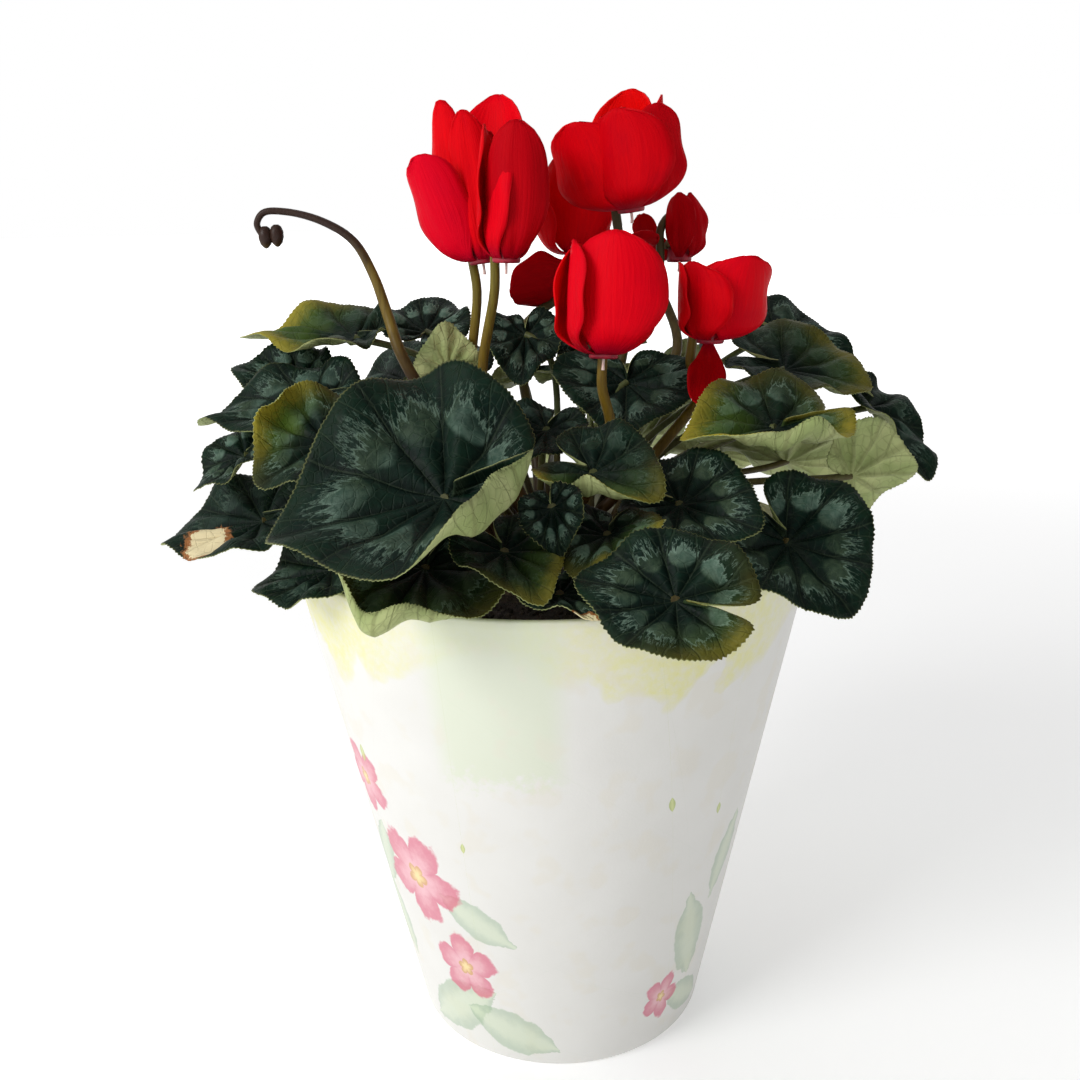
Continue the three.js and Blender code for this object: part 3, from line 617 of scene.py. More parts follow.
# %% [markdown]
# ## Where the stems stand
# Every stem ends in its own hole in the tuber. The holes lie on rings, shared out by the
# direction in which each leaf or flower stands.


# %% Feet of the stems
FOOT_LEVEL = 142.0
CROWN_LEVEL = 156.0
# Radius of each ring, how many leaf stalks stand on it, and its turn in degrees
LEAF_RINGS = ((24, 18, 0), (18, 13, 0), (12.2, 10, -16))


def feet_on_ring(bearings, radius, turn):
    order = sorted(range(len(bearings)), key=lambda i: bearings[i])
    step = 360 / len(bearings)
    start = turn + sum(bearings[i] - k * step for k, i in enumerate(order)) / len(bearings)
    feet = {}
    for k, i in enumerate(order):
        angle = math.radians(start + k * step)
        feet[i] = np.array((radius * math.cos(angle), radius * math.sin(angle), FOOT_LEVEL))
    return feet


def bearing_of(point):
    return math.degrees(math.atan2(point[1], point[0]))


def leaf_feet(leaves):
    far = sorted(range(len(leaves)), key=lambda i: -math.hypot(*leaves[i]["at"][:2]))
    feet = {}
    taken = 0
    for radius, stems, turn in LEAF_RINGS:
        share = far[taken : taken + stems]
        taken += stems
        ring = feet_on_ring([bearing_of(leaves[i]["at"]) for i in share], radius, turn)
        feet.update({i: ring[k] for k, i in enumerate(share)})
    return feet


LEAF_FEET = leaf_feet(LEAVES)
print("feet of leaf stalks:", len(LEAF_FEET))

# %% [markdown]
# ## Growing a leaf
# A blade is a fan around the joint. Its outline is a heart with a narrow notch behind, and
# `blade_grid` lifts the flat fan into a shallow cup, adds a fold, waves and, where the leaf
# needs it, a rolled margin. On top of that form come the living details, from a few tenths
# of a millimetre to about two: veins sink, the skin swells between them, and every second
# point of the margin steps outwards as a tooth.

# %% The outline of a leaf
# Veins on either side, as shares of the half turn from the tip, all other sizes in mm
VEIN_SHARES = (0, 0.17, 0.36, 0.58, 0.82, 1)
JOINT_RADIUS = 1.6
BLADE_THICKNESS = 0.55
TOOTH_WIDTH = 1.2
TOOTH_DEPTH = 0.34
LEAF_STEP = 97  # parts the leaves' own coordinates, so that no two share a pattern


def unit(vector):
    return np.asarray(vector, float) / np.linalg.norm(vector)


def turned_off(bearing, middle):
    return (bearing - middle + 180) % 360 - 180


def outline(bearing):
    away = abs(turned_off(bearing, 0))
    heart = 0.8 + 0.2 * math.exp(-((away / 20) ** 2))
    notch = 1 - math.exp(-(((180 - away) / 6) ** 1.3))
    return heart * max(notch, 0.12)


def leaf_frame(leaf):
    at, tip = np.array(leaf["at"], float), np.array(leaf["tip"], float)
    ahead = unit(tip - at)
    face = np.array(leaf["face"], float)
    up = unit(face - ahead * face.dot(ahead))
    return at, ahead, np.cross(up, ahead), up, np.linalg.norm(tip - at)


def margin(bearing, length, wide, back):
    edge = np.array([outline(b) for b in bearing])
    angle = np.radians(bearing)
    ahead = np.where(np.cos(angle) > 0, length, back / 0.69)
    return edge * np.cos(angle) * ahead, edge * np.sin(angle) * wide / 0.8


def teeth_bearings(length, wide, back):
    fine = np.linspace(0, 360, 1441)
    x, y = margin(fine, length, wide, back)
    walked = np.concatenate([[0], np.cumsum(np.hypot(np.diff(x), np.diff(y)))])
    teeth = max(round(walked[-1] / TOOTH_WIDTH), 28)
    return np.interp(walked[-1] * np.arange(2 * teeth) / (2 * teeth), walked, fine)


first = LEAVES[0]
teeth = len(teeth_bearings(leaf_frame(first)[4], first["wide"], first["back"])) // 2
print("teeth of leaf 1:", teeth)


# %% The blade's relief
def toothed(x, y, bearing, reach, number):
    uneven = np.random.default_rng(number).uniform(0.2, 1.3, len(bearing))
    tooth = TOOTH_DEPTH * uneven * np.where(np.arange(len(bearing)) % 2, 1, -0.6) * (reach > 0.999)
    tooth = tooth * np.clip((180 - abs(turned_off(bearing, 0))) / 12, 0, 1)
    stretch = 1 + tooth / np.maximum(np.hypot(x, y), 1)
    return x * stretch, y * stretch


def vein_relief(x, y, reach, veins, spacing, shift):
    share = abs(veins - np.round(veins))
    swell = np.sin(math.pi * share) ** 2 * np.minimum(spacing, 14) * 0.19
    swell *= np.sin(math.pi * np.clip(reach, 0, 1) ** 0.8) ** 0.7
    groove = -0.5 * np.exp(-((share * spacing / 0.6) ** 2)) * np.clip(1.25 - reach, 0, 1)
    crimp = np.sin(x * 1.05 + shift) * np.sin(y * 0.95 + 2 * shift)
    return swell + groove + 0.1 * crimp * np.clip(reach * 3, 0, 1)


def rolled(x, y, z, bearing, reach, span_out, curl):
    middle, half, roll, begin = curl
    bend = np.radians(roll) * np.exp(-((turned_off(bearing, middle) / half) ** 2))
    past = np.clip((reach - begin) / (1 - begin), 0, None)
    span = span_out * (1 - begin)
    live = (past > 0) & (bend > 0.01)
    safe = np.where(live, bend, 1)
    lost = span * past - span * np.sin(safe * past) / safe
    shrink = np.where(live, 1 - lost / np.maximum(np.hypot(x, y), 1e-6), 1)
    return x * shrink, y * shrink, z + np.where(live, span * (1 - np.cos(safe * past)) / safe, 0)


def blade_grid(leaf, number):
    at, ahead, left, up, length = leaf_frame(leaf)
    size = 0.5 * (length + leaf["wide"])
    bearing = teeth_bearings(length, leaf["wide"], leaf["back"])
    angle = np.radians(bearing)
    out_x, out_y = margin(bearing, length, leaf["wide"], leaf["back"])
    rows = round(min(max(size / 2.2, 10), 18))
    reach = np.concatenate([[0, 0.001], np.linspace(0, 1, rows)[1:] ** 0.8])[:, None]
    joint = np.full_like(reach, JOINT_RADIUS)
    joint[0] = 0.4
    x = joint * np.cos(angle) * (1 - reach) + out_x * reach
    y = joint * np.sin(angle) * (1 - reach) + out_y * reach
    x, y = toothed(x, y, bearing, reach, number)

    away = abs(turned_off(bearing, 0)) / 180
    veins = np.interp(away, VEIN_SHARES, range(len(VEIN_SHARES)))
    gaps = np.interp(away, [0.08, 0.26, 0.47, 0.7, 0.9], np.diff(VEIN_SHARES))
    spacing = np.maximum(np.hypot(x, y), 0.6) * gaps * math.pi
    shift = number * 1.7
    ruffle = 0.028 * size * reach**4 * np.sin(9 * angle + shift)
    buckle = 0.022 * size * np.sin(3 * math.pi * np.clip(reach, 0, 1) + shift)
    buckle = buckle * np.sin(4 * angle + shift) * np.clip(reach * 2, 0, 1)
    z = size * reach**2 * (0.1 + leaf.get("wave", 0.085) * np.sin(5 * angle))
    z = z + leaf.get("fold", 0.15) * (np.hypot(y, 3) - 3) - 0.1 * np.maximum(x, 0) ** 2 / length
    z = z + vein_relief(x, y, reach, veins, spacing, shift) + ruffle + buckle
    if "curl" in leaf:
        x, y, z = rolled(x, y, z, bearing, reach, np.hypot(out_x, out_y), leaf["curl"])
    grid = at + ahead * x[..., None] + left * y[..., None] + up * z[..., None]
    whole = np.ones_like(z)
    flat = np.stack([out_x * reach + LEAF_STEP * number, out_y * reach, whole * number], axis=-1)
    return grid, flat, np.stack([veins * whole, spacing * whole, reach * whole], axis=-1)


print("rows and columns of leaf 1:", blade_grid(LEAVES[0], 1)[0].shape[:2])

# %% [markdown]
# A leaf ages from its margin inwards. The first table gives the yellowing of the upper side
# by leaf number: how much, the bearing it lies at and how wide it spreads, in degrees. The
# second gives a dry patch: its place ahead of the joint and aside, and its size, in mm.


# %% Whole leaves
YELLOW = {
    3: (0.35, 30, 60), 4: (0.3, 0, 70), 5: (0.3, 150, 50), 7: (0.5, 60, 60), 13: (1.0, -75, 40),
    14: (0.9, -70, 60), 15: (1.0, 60, 110), 20: (0.7, 0, 60), 28: (0.3, 20, 70),
}
DRY_PATCH = {10: (14, 8, 7), 2: (14, -6, 3)}


def leaf_tone(number, flat):
    tone = np.zeros_like(flat)
    tone[..., 0] = 1
    x, y = flat[..., 0] - LEAF_STEP * number, flat[..., 1]
    amount, middle, half = YELLOW.get(number, (0, 0, 1))
    bearing = np.degrees(np.arctan2(y[-1], x[-1]))
    tone[..., 1] = amount * np.exp(-((turned_off(bearing, middle) / half) ** 2))
    if number in DRY_PATCH:
        ahead, aside, size = DRY_PATCH[number]
        tone[..., 2] = np.clip(1 - np.hypot(x - ahead, y - aside) / (2 * size), 0, 1)
    return tone


def leaf_stalk_path(leaf, foot):
    at, _, _, up, _ = leaf_frame(leaf)
    top = np.array((foot[0], foot[1], CROWN_LEVEL))
    joint = at - up * 0.2
    span = np.linalg.norm(top - joint)
    inward = unit((top - joint) * (1, 1, 0))
    near = joint - up * 6 + inward * 0.3 * span
    far = top - inward * 0.12 * span
    far[2] += leaf.get("rise", 0.4) * span
    t = np.linspace(0, 1, 26)[:, None]
    path = (1 - t) ** 3 * joint + 3 * t * (1 - t) ** 2 * near
    path = path + 3 * t**2 * (1 - t) * far + t**3 * top
    return np.vstack([path, foot])


def leaf_piece(number, leaf):
    grid, flat, count = blade_grid(leaf, number)
    values = {"leaf_plane": flat / 10, "leaf_veins": count, "leaf_tone": leaf_tone(number, flat)}
    name = f"dressed_leaf_{number:02d}"
    thickness = BLADE_THICKNESS * np.interp(count[:, 0, 2], [0, 0.8, 1], [1, 1, 0.5])
    blade = show(name, sheet_mesh(name, grid, thickness, True, values), LEAF)

    path = leaf_stalk_path(leaf, LEAF_FEET[number - 1])
    radii = 1.05 + 0.15 * np.linspace(1, 0, len(path)) ** 8 + 0.1 * np.linspace(0, 1, len(path))
    piece = merge(blade, stem(name + "_stalk", path, radii, LEAF_STALK, sides=8))
    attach(piece, "root")
    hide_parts(f"leaf_{number:02d}")
    return piece


leaf_pieces = [leaf_piece(number, leaf) for number, leaf in enumerate(LEAVES, 1)]
print("leaf triangles:", sum(triangles(piece) for piece in leaf_pieces))

# %% [markdown]
# ## The flowers
# Each flower hangs with its mouth down while its five petals are thrown up and twisted a
# little, all the same way round. A petal starts narrow at the tube, widens, and ends round.
# Red petals are not one red: they turn magenta at the root, and the skin has fine lines along
# the petal. Petals that stand in shade are painted darker: painted shade.


# %% Petal, tube and calyx materials
def petal_material():
    w = Wires("petal_skin")
    part, across, seed = w.split(w.attribute("petal_plane"))
    side, dark, pink = w.split(w.attribute("petal_tone"))
    lines = w.noise(w.join(across * 13, part * 2.2, seed), 1.0, 4, 0.6)
    blush = w.noise(w.join(across, part * 2.5, seed), 1.3, 2)
    colour = w.coats(
        w.mix(w.ramp(lines, 0.3, 0.7), (0.66, 0.0, 0.001), (0.78, 0.001, 0.001)),
        (w.ramp(blush, 0.5, 0.75, 0.0, 0.45), (0.5, 0.0, 0.006)),
        (pink * 0.7, (0.86, 0.001, 0.03)),
        (w.ramp(part, 0.3, 0.0, 0.0, 0.8), (0.36, 0.001, 0.03)),
        # Painted shade: petals listed as standing in shade turn dark crimson
        (dark * 0.85, (0.2, 0.0, 0.002)),
        (w.ramp(abs(across), 0.94, 1.0, 0.0, 0.16), (0.9, 0.03, 0.03)),
        (w.ramp(side, 0.7, 0.3, 0.0, 0.3), (0.5, 0.001, 0.01)),
    )
    return w.finish(colour, w.ramp(lines, 0.2, 0.8, 0.42, 0.6), w.bump(lines, 0.0003), gloss=0.03)


def simple_material(name, dark, pale, scale, roughness):
    w = Wires(name)
    grain = w.noise(w.place(), scale, 4, 0.6)
    colour = w.mix(w.ramp(grain, 0.3, 0.7), dark, pale)
    dull = w.ramp(grain, 0.2, 0.8, roughness, roughness + 0.15)
    return w.finish(colour, dull, w.bump(grain, 0.0001))


PETAL = petal_material()
TUBE = simple_material("flower_tube", (0.22, 0.004, 0.02), (0.45, 0.006, 0.03), 500, 0.45)
STYLE = simple_material("pale_style", (0.75, 0.45, 0.42), (0.85, 0.66, 0.6), 600, 0.4)
CALYX = simple_material("calyx", (0.07, 0.05, 0.015), (0.16, 0.15, 0.04), 450, 0.5)
print("petal material:", len(PETAL.node_tree.nodes), "steps")

# %% [markdown]
# In the table `at` is where the petals meet, `up` the way the tube points, `stalk` the
# bearing on which the stalk comes down, `bulge` and `close` how wide the cup is in the
# middle and at its mouth, and `via` a point the stalk passes. Each petal has its bearing,
# length, half width, lean in degrees and push outwards, and may have a twist of its own.

# %% Flower table
FLOWERS = [
    dict(
        at=(-19, 8, 242.5), up=(-0.12, 0.04, 1), stalk=122, bulge=7.8, close=7, via=(-24, 14, 205),
        petals=[
            (56, 50, 12, 14, 0, -15), (210, 46, 7, -1, 0, -30), (218, 34, 9, 17, 0.5, -30),
            (276, 42, 7, -1, 0.8), (340, 36, 7, 0, 0),
        ],
    ),
    dict(
        at=(-11.5, -10, 243.5), up=(0.04, 0, 1), stalk=122, bulge=7.8, close=6.5, via=(-20, 0, 207),
        petals=[
            (15, 34, 7, 2, 0), (60, 34, 7, 0, 0), (184, 36, 6.5, 0, 0),
            (232, 33, 6.5, -3, 0), (288, 37, 8.8, 2, 0.8),
        ],
    ),
    dict(
        at=(10, 36, 242.5), up=(0, 0.1, 1), stalk=100, bulge=10, close=9, via=(-8, 32, 220),
        petals=[
            (30, 30, 9, 15, 0), (203, 23, 9, 107, 0, -62), (205, 38, 12, 27, 0),
            (258, 31, 12.5, 8, 0.5), (335, 24, 7, 66, 0),
        ],
    ),
    dict(
        at=(25.5, 8, 256.5), up=(-0.12, -0.04, 1), stalk=130,
        bulge=11, close=10.5, via=(25, 20, 222),
        petals=[
            (20, 31, 10, 6, 0), (72, 34, 12.5, 5, 0), (205, 28, 11.5, 12, 0, -40),
            (264, 28, 13, 1, 1.5), (335, 28, 8, 1, 0, 50),
        ],
    ),
    dict(
        at=(15.3, -25, 217.5), up=(0.05, 0.1, 1), stalk=88,
        bulge=11, close=8.5, via=(17.5, -17, 196),
        petals=[
            (20, 30, 10, 0, 0), (152, 30, 10, 0, 0), (207, 31, 9, 4, 0),
            (277, 33, 13.5, 1, 1.5), (335, 30, 9, 0, 0),
        ],
    ),
    dict(
        at=(47, -10, 219.5), up=(0.03, 0, 1), stalk=130, bulge=9.5, close=8.5, via=(51, 0, 211),
        petals=[
            (70, 22, 8, 4, 0), (192, 22, 8, 4, 0), (232, 23, 11, 7, 0),
            (252, 19, 5.5, 146, 0), (315, 25, 12.5, 8, 1),
        ],
    ),
    dict(
        at=(43, 36, 240.5), up=(0, 0.1, 1), stalk=200, bulge=7, close=4, via=(41, 21, 214),
        petals=[
            (264, 20, 5, 0, 0), (322, 20, 5, 0, 0), (20, 20, 5, 0, 0),
            (78, 20, 5, 0, 0), (136, 20, 5, 40, 0),
        ],
    ),
]
SPENT_PATH = [
    (-84.5, 6, 252.5), (-85.6, 6, 255.5), (-83.5, 6, 258.6), (-77, 6, 258.8), (-66, 5, 255.8),
    (-57, 4, 250), (-51.5, 3, 240), (-48, 2, 229), (-43.5, -2, 216),
]
STALK_BEARINGS = [bearing_of(flower["at"]) for flower in FLOWERS] + [bearing_of(SPENT_PATH[-1])]
FLOWER_FEET = feet_on_ring(STALK_BEARINGS, 6.2, 10)
# Painted shade (darkness) and pinkness of single petals, by flower and petal
PAINTED_PETAL_SHADE = {
    (1, 4): 0.3, (2, 0): 0.3, (2, 4): 0.7, (3, 1): 0.8, (3, 4): 0.7, (4, 3): 0.35, (4, 4): 0.5,
    (6, 2): 0.3, (6, 3): 0.8, (7, 0): 0.8, (7, 1): 0.7, (7, 2): 0.6, (7, 3): 0.6, (7, 4): 0.7,
}
PINK = {(1, 0): 0.3, (1, 2): 0.8, (2, 3): 0.3, (4, 1): 0.0, (5, 2): 0.4, (5, 3): 0.3, (6, 4): 0.3}
print("flowers:", len(FLOWERS), "feet:", len(FLOWER_FEET))

# %% [markdown]
# `flower_frame` gives a flower its own axes: up along the tube, side towards its stalk's
# hook. The petal formula works in those axes and the frame places it in the plant.


# %% Growing a flower
TUBE_RADIUS = 3.4
PETAL_THICKNESS = 0.5
PETAL_TWIST = 20
WIDEST = 0.62  # share of a petal's length at which it is widest


def flower_frame(flower):
    up = unit(flower["up"])
    turn = math.radians(flower["stalk"])
    side = np.array((math.cos(turn), math.sin(turn), 0))
    side = unit(side - up * side.dot(up))
    return np.array(flower["at"], float), side, np.cross(up, side), up


def in_flower(flower, x, y, z):
    at, side, across, up = flower_frame(flower)
    x, y, z = np.broadcast_arrays(x, y, z)
    return at + side * x[..., None] + across * y[..., None] + up * z[..., None]


def petal_half_width(part, wide):
    rise = 0.2 + 0.8 * np.sin(np.minimum(part / WIDEST, 1) * math.pi / 2) ** 1.6
    round_end = np.sqrt(1 - (np.maximum(part - WIDEST, 0) / (1 - WIDEST)) ** 3)
    return wide * rise * np.maximum(round_end, 0.2)


def petal_waves(part, across, seed):
    edge = 0.7 * abs(across) ** 3 * np.minimum(part * 2, 1)
    edge = edge * np.sin(part * 13 + seed * 1.3 + across * 2)
    keel = -0.45 * np.exp(-((across / 0.16) ** 2)) * np.sin(math.pi * part)
    wave = 0.22 * np.sin(across * 8 + seed * 2.1) * np.sin(math.pi * np.minimum(part, 0.9))
    return edge + keel + wave


def petal_grid(flower, number, index):
    part = (np.linspace(0, 1, 25) ** 0.9)[:, None]
    across = np.linspace(-1, 1, 13)[None, :]
    seed = number * 5 + index
    bearing, long, wide, lean, push, *own_twist = flower["petals"][index]
    twist = math.radians(own_twist[0] if own_twist else PETAL_TWIST)
    bulge, close = flower["bulge"], flower["close"]
    out = (bulge + push - TUBE_RADIUS) * np.sin(np.minimum(part / 0.4, 1) * math.pi / 2)
    out = out - (bulge - close) * (np.maximum(part - 0.5, 0) / 0.5) ** 2
    side = across * petal_half_width(part, wide)
    inward = side**2 / (2.2 * bulge)
    turned = twist * np.minimum(part / 0.3, 1)
    radial = out - inward * math.cos(twist) + side * np.sin(turned)
    radial = radial + petal_waves(part, across, seed)
    tangential = side * np.cos(turned) + inward * math.sin(twist)
    high = long * part**1.5 - 0.6 * across**2 * part**5

    lean = math.radians(lean)
    leaning = TUBE_RADIUS + radial * math.cos(lean) + high * math.sin(lean)
    high = high * math.cos(lean) - radial * math.sin(lean) + 1.2
    bearing = math.radians(bearing - flower["stalk"])
    x = leaning * math.cos(bearing) - tangential * math.sin(bearing)
    y = leaning * math.sin(bearing) + tangential * math.cos(bearing)
    whole = np.ones_like(high)
    dark, pink = PAINTED_PETAL_SHADE.get((number, index), 0), PINK.get((number, index), 0.1)
    plane = np.stack([part * whole, across * whole, seed * whole], axis=-1)
    tone = np.stack([whole, dark * whole, pink * whole], axis=-1)
    return in_flower(flower, x, y, high), {"petal_plane": plane, "petal_tone": tone}


print("points of a petal:", petal_grid(FLOWERS[0], 1, 0)[0].shape[:2])

# %% [markdown]
# The tube and the calyx are turned from profiles. Each row is a radius, a height, and how
# far the five lobes pull the ring down there, from 0 to 1.


# %% Turned pieces
TUBE_PROFILE = [
    (0.4, 2.4, 0), (2.6, 2.0, 0), (3.1, 0.9, 0), (3.3, 0.1, 0), (3.8, -0.1, 0),
    (4.1, 0.5, 0), (3.9, 2.4, 0), (3.4, 4.4, 0), (2.6, 6.4, 0), (0.4, 6.5, 0),
]
CALYX_PROFILE = [
    (4.25, 5.2, 1), (4.95, 4.7, 1), (5.0, 5.2, 0.6), (4.8, 6.0, 0.2), (3.2, 7.8, 0),
    (1.7, 8.9, 0), (0.3, 8.9, 0), (0.3, 7.0, 0), (3.0, 6.4, 0), (4.2, 5.4, 0.6),
]


def ring_faces(index):
    after = np.roll(index, -1, axis=1)
    return list(np.stack([index[:-1], after[:-1], after[1:], index[1:]], axis=-1).reshape(-1, 4))


def turned_piece(name, flower, profile, material, sides=20, lobes=0):
    angle = 2 * math.pi * np.arange(sides) / sides
    radius, height, pull = np.array(profile).T[..., None]
    height = height - lobes * np.cos(angle * 2.5) ** 2 * pull
    grid = in_flower(flower, radius * np.cos(angle), radius * np.sin(angle), height)
    index = np.arange(len(profile) * sides).reshape(-1, sides)
    faces = ring_faces(index) + [index[0, ::-1], index[-1]]
    return show(name, mesh_from(name, grid, faces), material)


print("profile points:", len(TUBE_PROFILE), len(CALYX_PROFILE))

# %% [markdown]
# A stalk's path is a smooth curve through a few points (a centripetal Catmull-Rom curve,
# which never loops), led down into its hole in the tuber.


# %% Whole flowers
HOOK = [(0, 0, 8.5), (0.4, 0, 10.9), (3.2, 0, 14.1), (6.4, 0, 10.5), (6.7, 0, 2), (6.6, 0, -8)]
HOOK_RADII = [1.5, 1.4, 1.3, 1.4, 1.5, 1.6, 1.8, 1.8]
STYLE_PATH = [(0, 0, 3), (0, 0, -2), (0.2, 0, -3.2)]
SHADED_FLOWERS = (3, 4, 7)


def smooth_path(points, steps=7):
    points = [np.array(p, float) for p in points]
    padded = [2 * points[0] - points[1], *points, 2 * points[-1] - points[-2]]
    path = []
    for a, b, c, d in zip(padded, padded[1:], padded[2:], padded[3:]):
        knots = [0.0]
        for first, second in ((a, b), (b, c), (c, d)):
            knots.append(knots[-1] + np.linalg.norm(second - first) ** 0.5)
        for t in np.linspace(knots[1], knots[2], steps, endpoint=False):
            ab = a + (b - a) * (t - knots[0]) / (knots[1] - knots[0])
            bc = b + (c - b) * (t - knots[1]) / (knots[2] - knots[1])
            cd = c + (d - c) * (t - knots[2]) / (knots[3] - knots[2])
            abc = ab + (bc - ab) * (t - knots[0]) / (knots[2] - knots[0])
            bcd = bc + (cd - bc) * (t - knots[1]) / (knots[3] - knots[1])
            path.append(abc + (bcd - abc) * (t - knots[1]) / (knots[2] - knots[1]))
    return [*path, points[-1]]


def with_foot(points, foot):
    last = np.array(points[-1], float)
    top = np.array((foot[0], foot[1], CROWN_LEVEL))
    over = top + (last - top) * 0.45
    over[:2] = (foot[:2] + last[:2]) / 2
    return [*points, over, top, foot]


def radii_along(path, radii):
    return np.interp(np.linspace(0, len(radii) - 1, len(path)), range(len(radii)), radii)


def flower_piece(number, flower):
    name = f"dressed_flower_{number}"
    petals = []
    for index in range(5):
        grid, values = petal_grid(flower, number, index)
        mesh = sheet_mesh(f"{name}_petal", grid, PETAL_THICKNESS, False, values)
        petals.append(show(f"{name}_petal", mesh, PETAL))
    tube = turned_piece(name + "_tube", flower, TUBE_PROFILE, TUBE)
    style_path = in_flower(flower, *np.transpose(STYLE_PATH))
    style = stem(name + "_style", style_path, [0.45, 0.4, 0.5], STYLE, sides=10)
    corolla = merge(petals[0], *petals[1:], tube, style)
    corolla.name = name + "_petals"

    points = [*in_flower(flower, *np.transpose(HOOK)), flower["via"]]
    path = smooth_path(with_foot(points, FLOWER_FEET[number - 1]))
    material = SHADED_STALK if number in SHADED_FLOWERS else FLOWER_STALK
    stalk = stem(name + "_stalk", path, radii_along(path, HOOK_RADII), material, sides=12)
    calyx = turned_piece(name + "_calyx", flower, CALYX_PROFILE, CALYX, sides=30, lobes=0.9)
    stalk = merge(stalk, calyx)
    for piece, node, place in ((corolla, "petals", "petal"), (stalk, "stalk", "stalk")):
        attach(piece, "root")
        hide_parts(f"flower_{number}_{node}")
    return corolla, stalk


flower_pieces = [flower_piece(number, flower) for number, flower in enumerate(FLOWERS, 1)]
print("petal triangles:", sum(triangles(pair[0]) for pair in flower_pieces))


# %% [markdown]
# The spent flower has dropped its petals: what is left is a stalk bent over like a crook,
# with two small seed buds at its tip.


# %% The spent stalk
SPENT_RADII = [1, 1, 1, 1.05, 1.2, 1.4, 1.6, 1.8, 1.8, 1.8, 1.8]
BUD_HEIGHTS = (3.2, 2.6, 1.2, -0.4, -2.0, -3.0, -3.25)
BUD_RADII = [0.7, 1.5, 2.05, 2.1, 1.6, 0.7, 0.2]


def spent_piece():
    path = smooth_path(with_foot(SPENT_PATH, FLOWER_FEET[7]))
    radii = radii_along(path, SPENT_RADII)
    piece = stem("dressed_spent_stalk", path, radii, SPENT_STALK, sides=12)
    for shift in (0, 3.4):
        ends = [(-83.4 + shift, 6, 251.6 + z + shift * 0.12) for z in BUD_HEIGHTS]
        piece = merge(piece, stem("seed_bud", ends, BUD_RADII, SPENT_STALK, sides=12))
    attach(piece, "root")
    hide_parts("spent_stalk")
    return piece


spent = spent_piece()
print("spent stalk triangles:", triangles(spent))

# %% [markdown]
# ## The pot
# The pot is a plain tapered cone of cream plastic with a wash of colour under its rim and
# scattered blossoms, leaves and drops. The print is drawn here by formula on the pot's own
# unrolled surface: `across` is the distance round the pot from its front in millimetres,
# `height` the distance above its foot. A blossom and a leaf are one node group each, used
# again and again with other places and sizes.


# %% Print marks as node groups
class GroupWires(Wires):
    def __init__(self, name, inputs, outputs):
        self.tree = bpy.data.node_groups.new(name, "ShaderNodeTree")
        for direction, keys in (("INPUT", inputs), ("OUTPUT", outputs)):
            for key in keys:
                self.tree.interface.new_socket(key, in_out=direction, socket_type="NodeSocketFloat")
        start = self.tree.nodes.new("NodeGroupInput").outputs
        self.start = [Flow(self, start[key]) for key in inputs]
        self.end = self.tree.nodes.new("NodeGroupOutput").inputs


def mark_group(name, petals):
    inputs = ("Across", "Height", "Wobble", "Middle", "Level", "Size", "Turn")
    w = GroupWires(name, inputs, ("Mask", "Depth"))
    across, height, wobble, middle, level, size, turn = w.start
    place = {"Vector": w.join(across - middle, height - level, 0.0), "Angle": turn}
    x, y, _ = w.split(w.node("ShaderNodeVectorRotate", place, rotation_type="Z_AXIS"))
    size = size * (wobble * 0.5 + 0.75)
    if petals:
        lobe = abs(w.math("COSINE", w.math("ARCTAN2", y, x) * (petals / 2)))
        limit = size * (w.math("POWER", lobe, 0.6) * 0.45 + 0.55)
        depth = w.math("SQRT", x * x + y * y) / limit
    else:
        along = x / size
        limit = w.math("MAXIMUM", 1 - along * along, 0.0) * (size * 0.42)
        depth = abs(y) / w.math("MAXIMUM", limit, 0.01)
    w.feed(w.end["Mask"], w.ramp(depth, 1.06, 0.94))
    w.feed(w.end["Depth"], depth)
    return w.tree


BLOSSOM_MARK = mark_group("blossom_mark", 5)
LEAF_MARK = mark_group("leaf_mark", 0)
print("print marks:", BLOSSOM_MARK.name, LEAF_MARK.name)

# %% Pot material
PRINT_RADIUS = 64  # mm of print for each radian round the pot
# Middle round the pot, level above the foot, size (all mm) and turn (radians) of each mark
BLOSSOMS = [
    (-50, 66, 17, 0.2), (-36, 36, 13, 0.9), (-68, 94, 12, 0.5), (42, 20, 9, 0.1),
    (-122, 60, 16, 0.4), (122, 48, 14, 0.7), (172, 70, 13, 0.3),
]
SPRIGS = [
    (-28, 56, 15, 0.5), (-44, 17, 22, 2.6), (-20, 13, 20, 0.3), (-70, 66, 15, 1.9),
    (52, 40, 19, 1.3), (58, 14, 15, 0.4), (-74, 40, 16, 1.3), (-104, 38, 19, 0.8),
    (-146, 68, 16, 2.2), (104, 26, 18, 0.7), (64, 66, 15, 1.8), (144, 62, 15, 2.4),
    (182, 48, 15, 1.1), (-180, 24, 16, 0.5),
]
DROPS = [
    (-64, 104, 3.2, 1.7), (32, 97, 2.6, 1.4), (52, 88, 2.2, 1.5), (-28, 84, 1.8, 1.6),
    (-90, 92, 2.4, 1.5),
]
HEARTS = [(middle, level, size * 0.26, turn) for middle, level, size, turn in BLOSSOMS]
# What is printed: group, marks, pale and deep ink, strength
PRINTS = (
    (LEAF_MARK, SPRIGS, (0.52, 0.63, 0.42), (0.28, 0.42, 0.26), 0.55),
    (BLOSSOM_MARK, BLOSSOMS, (0.80, 0.38, 0.45), (0.62, 0.06, 0.16), 0.75),
    (BLOSSOM_MARK, HEARTS, (0.85, 0.72, 0.3), (0.6, 0.34, 0.1), 0.8),
    (LEAF_MARK, DROPS, (0.56, 0.62, 0.2), (0.38, 0.46, 0.1), 0.8),
)


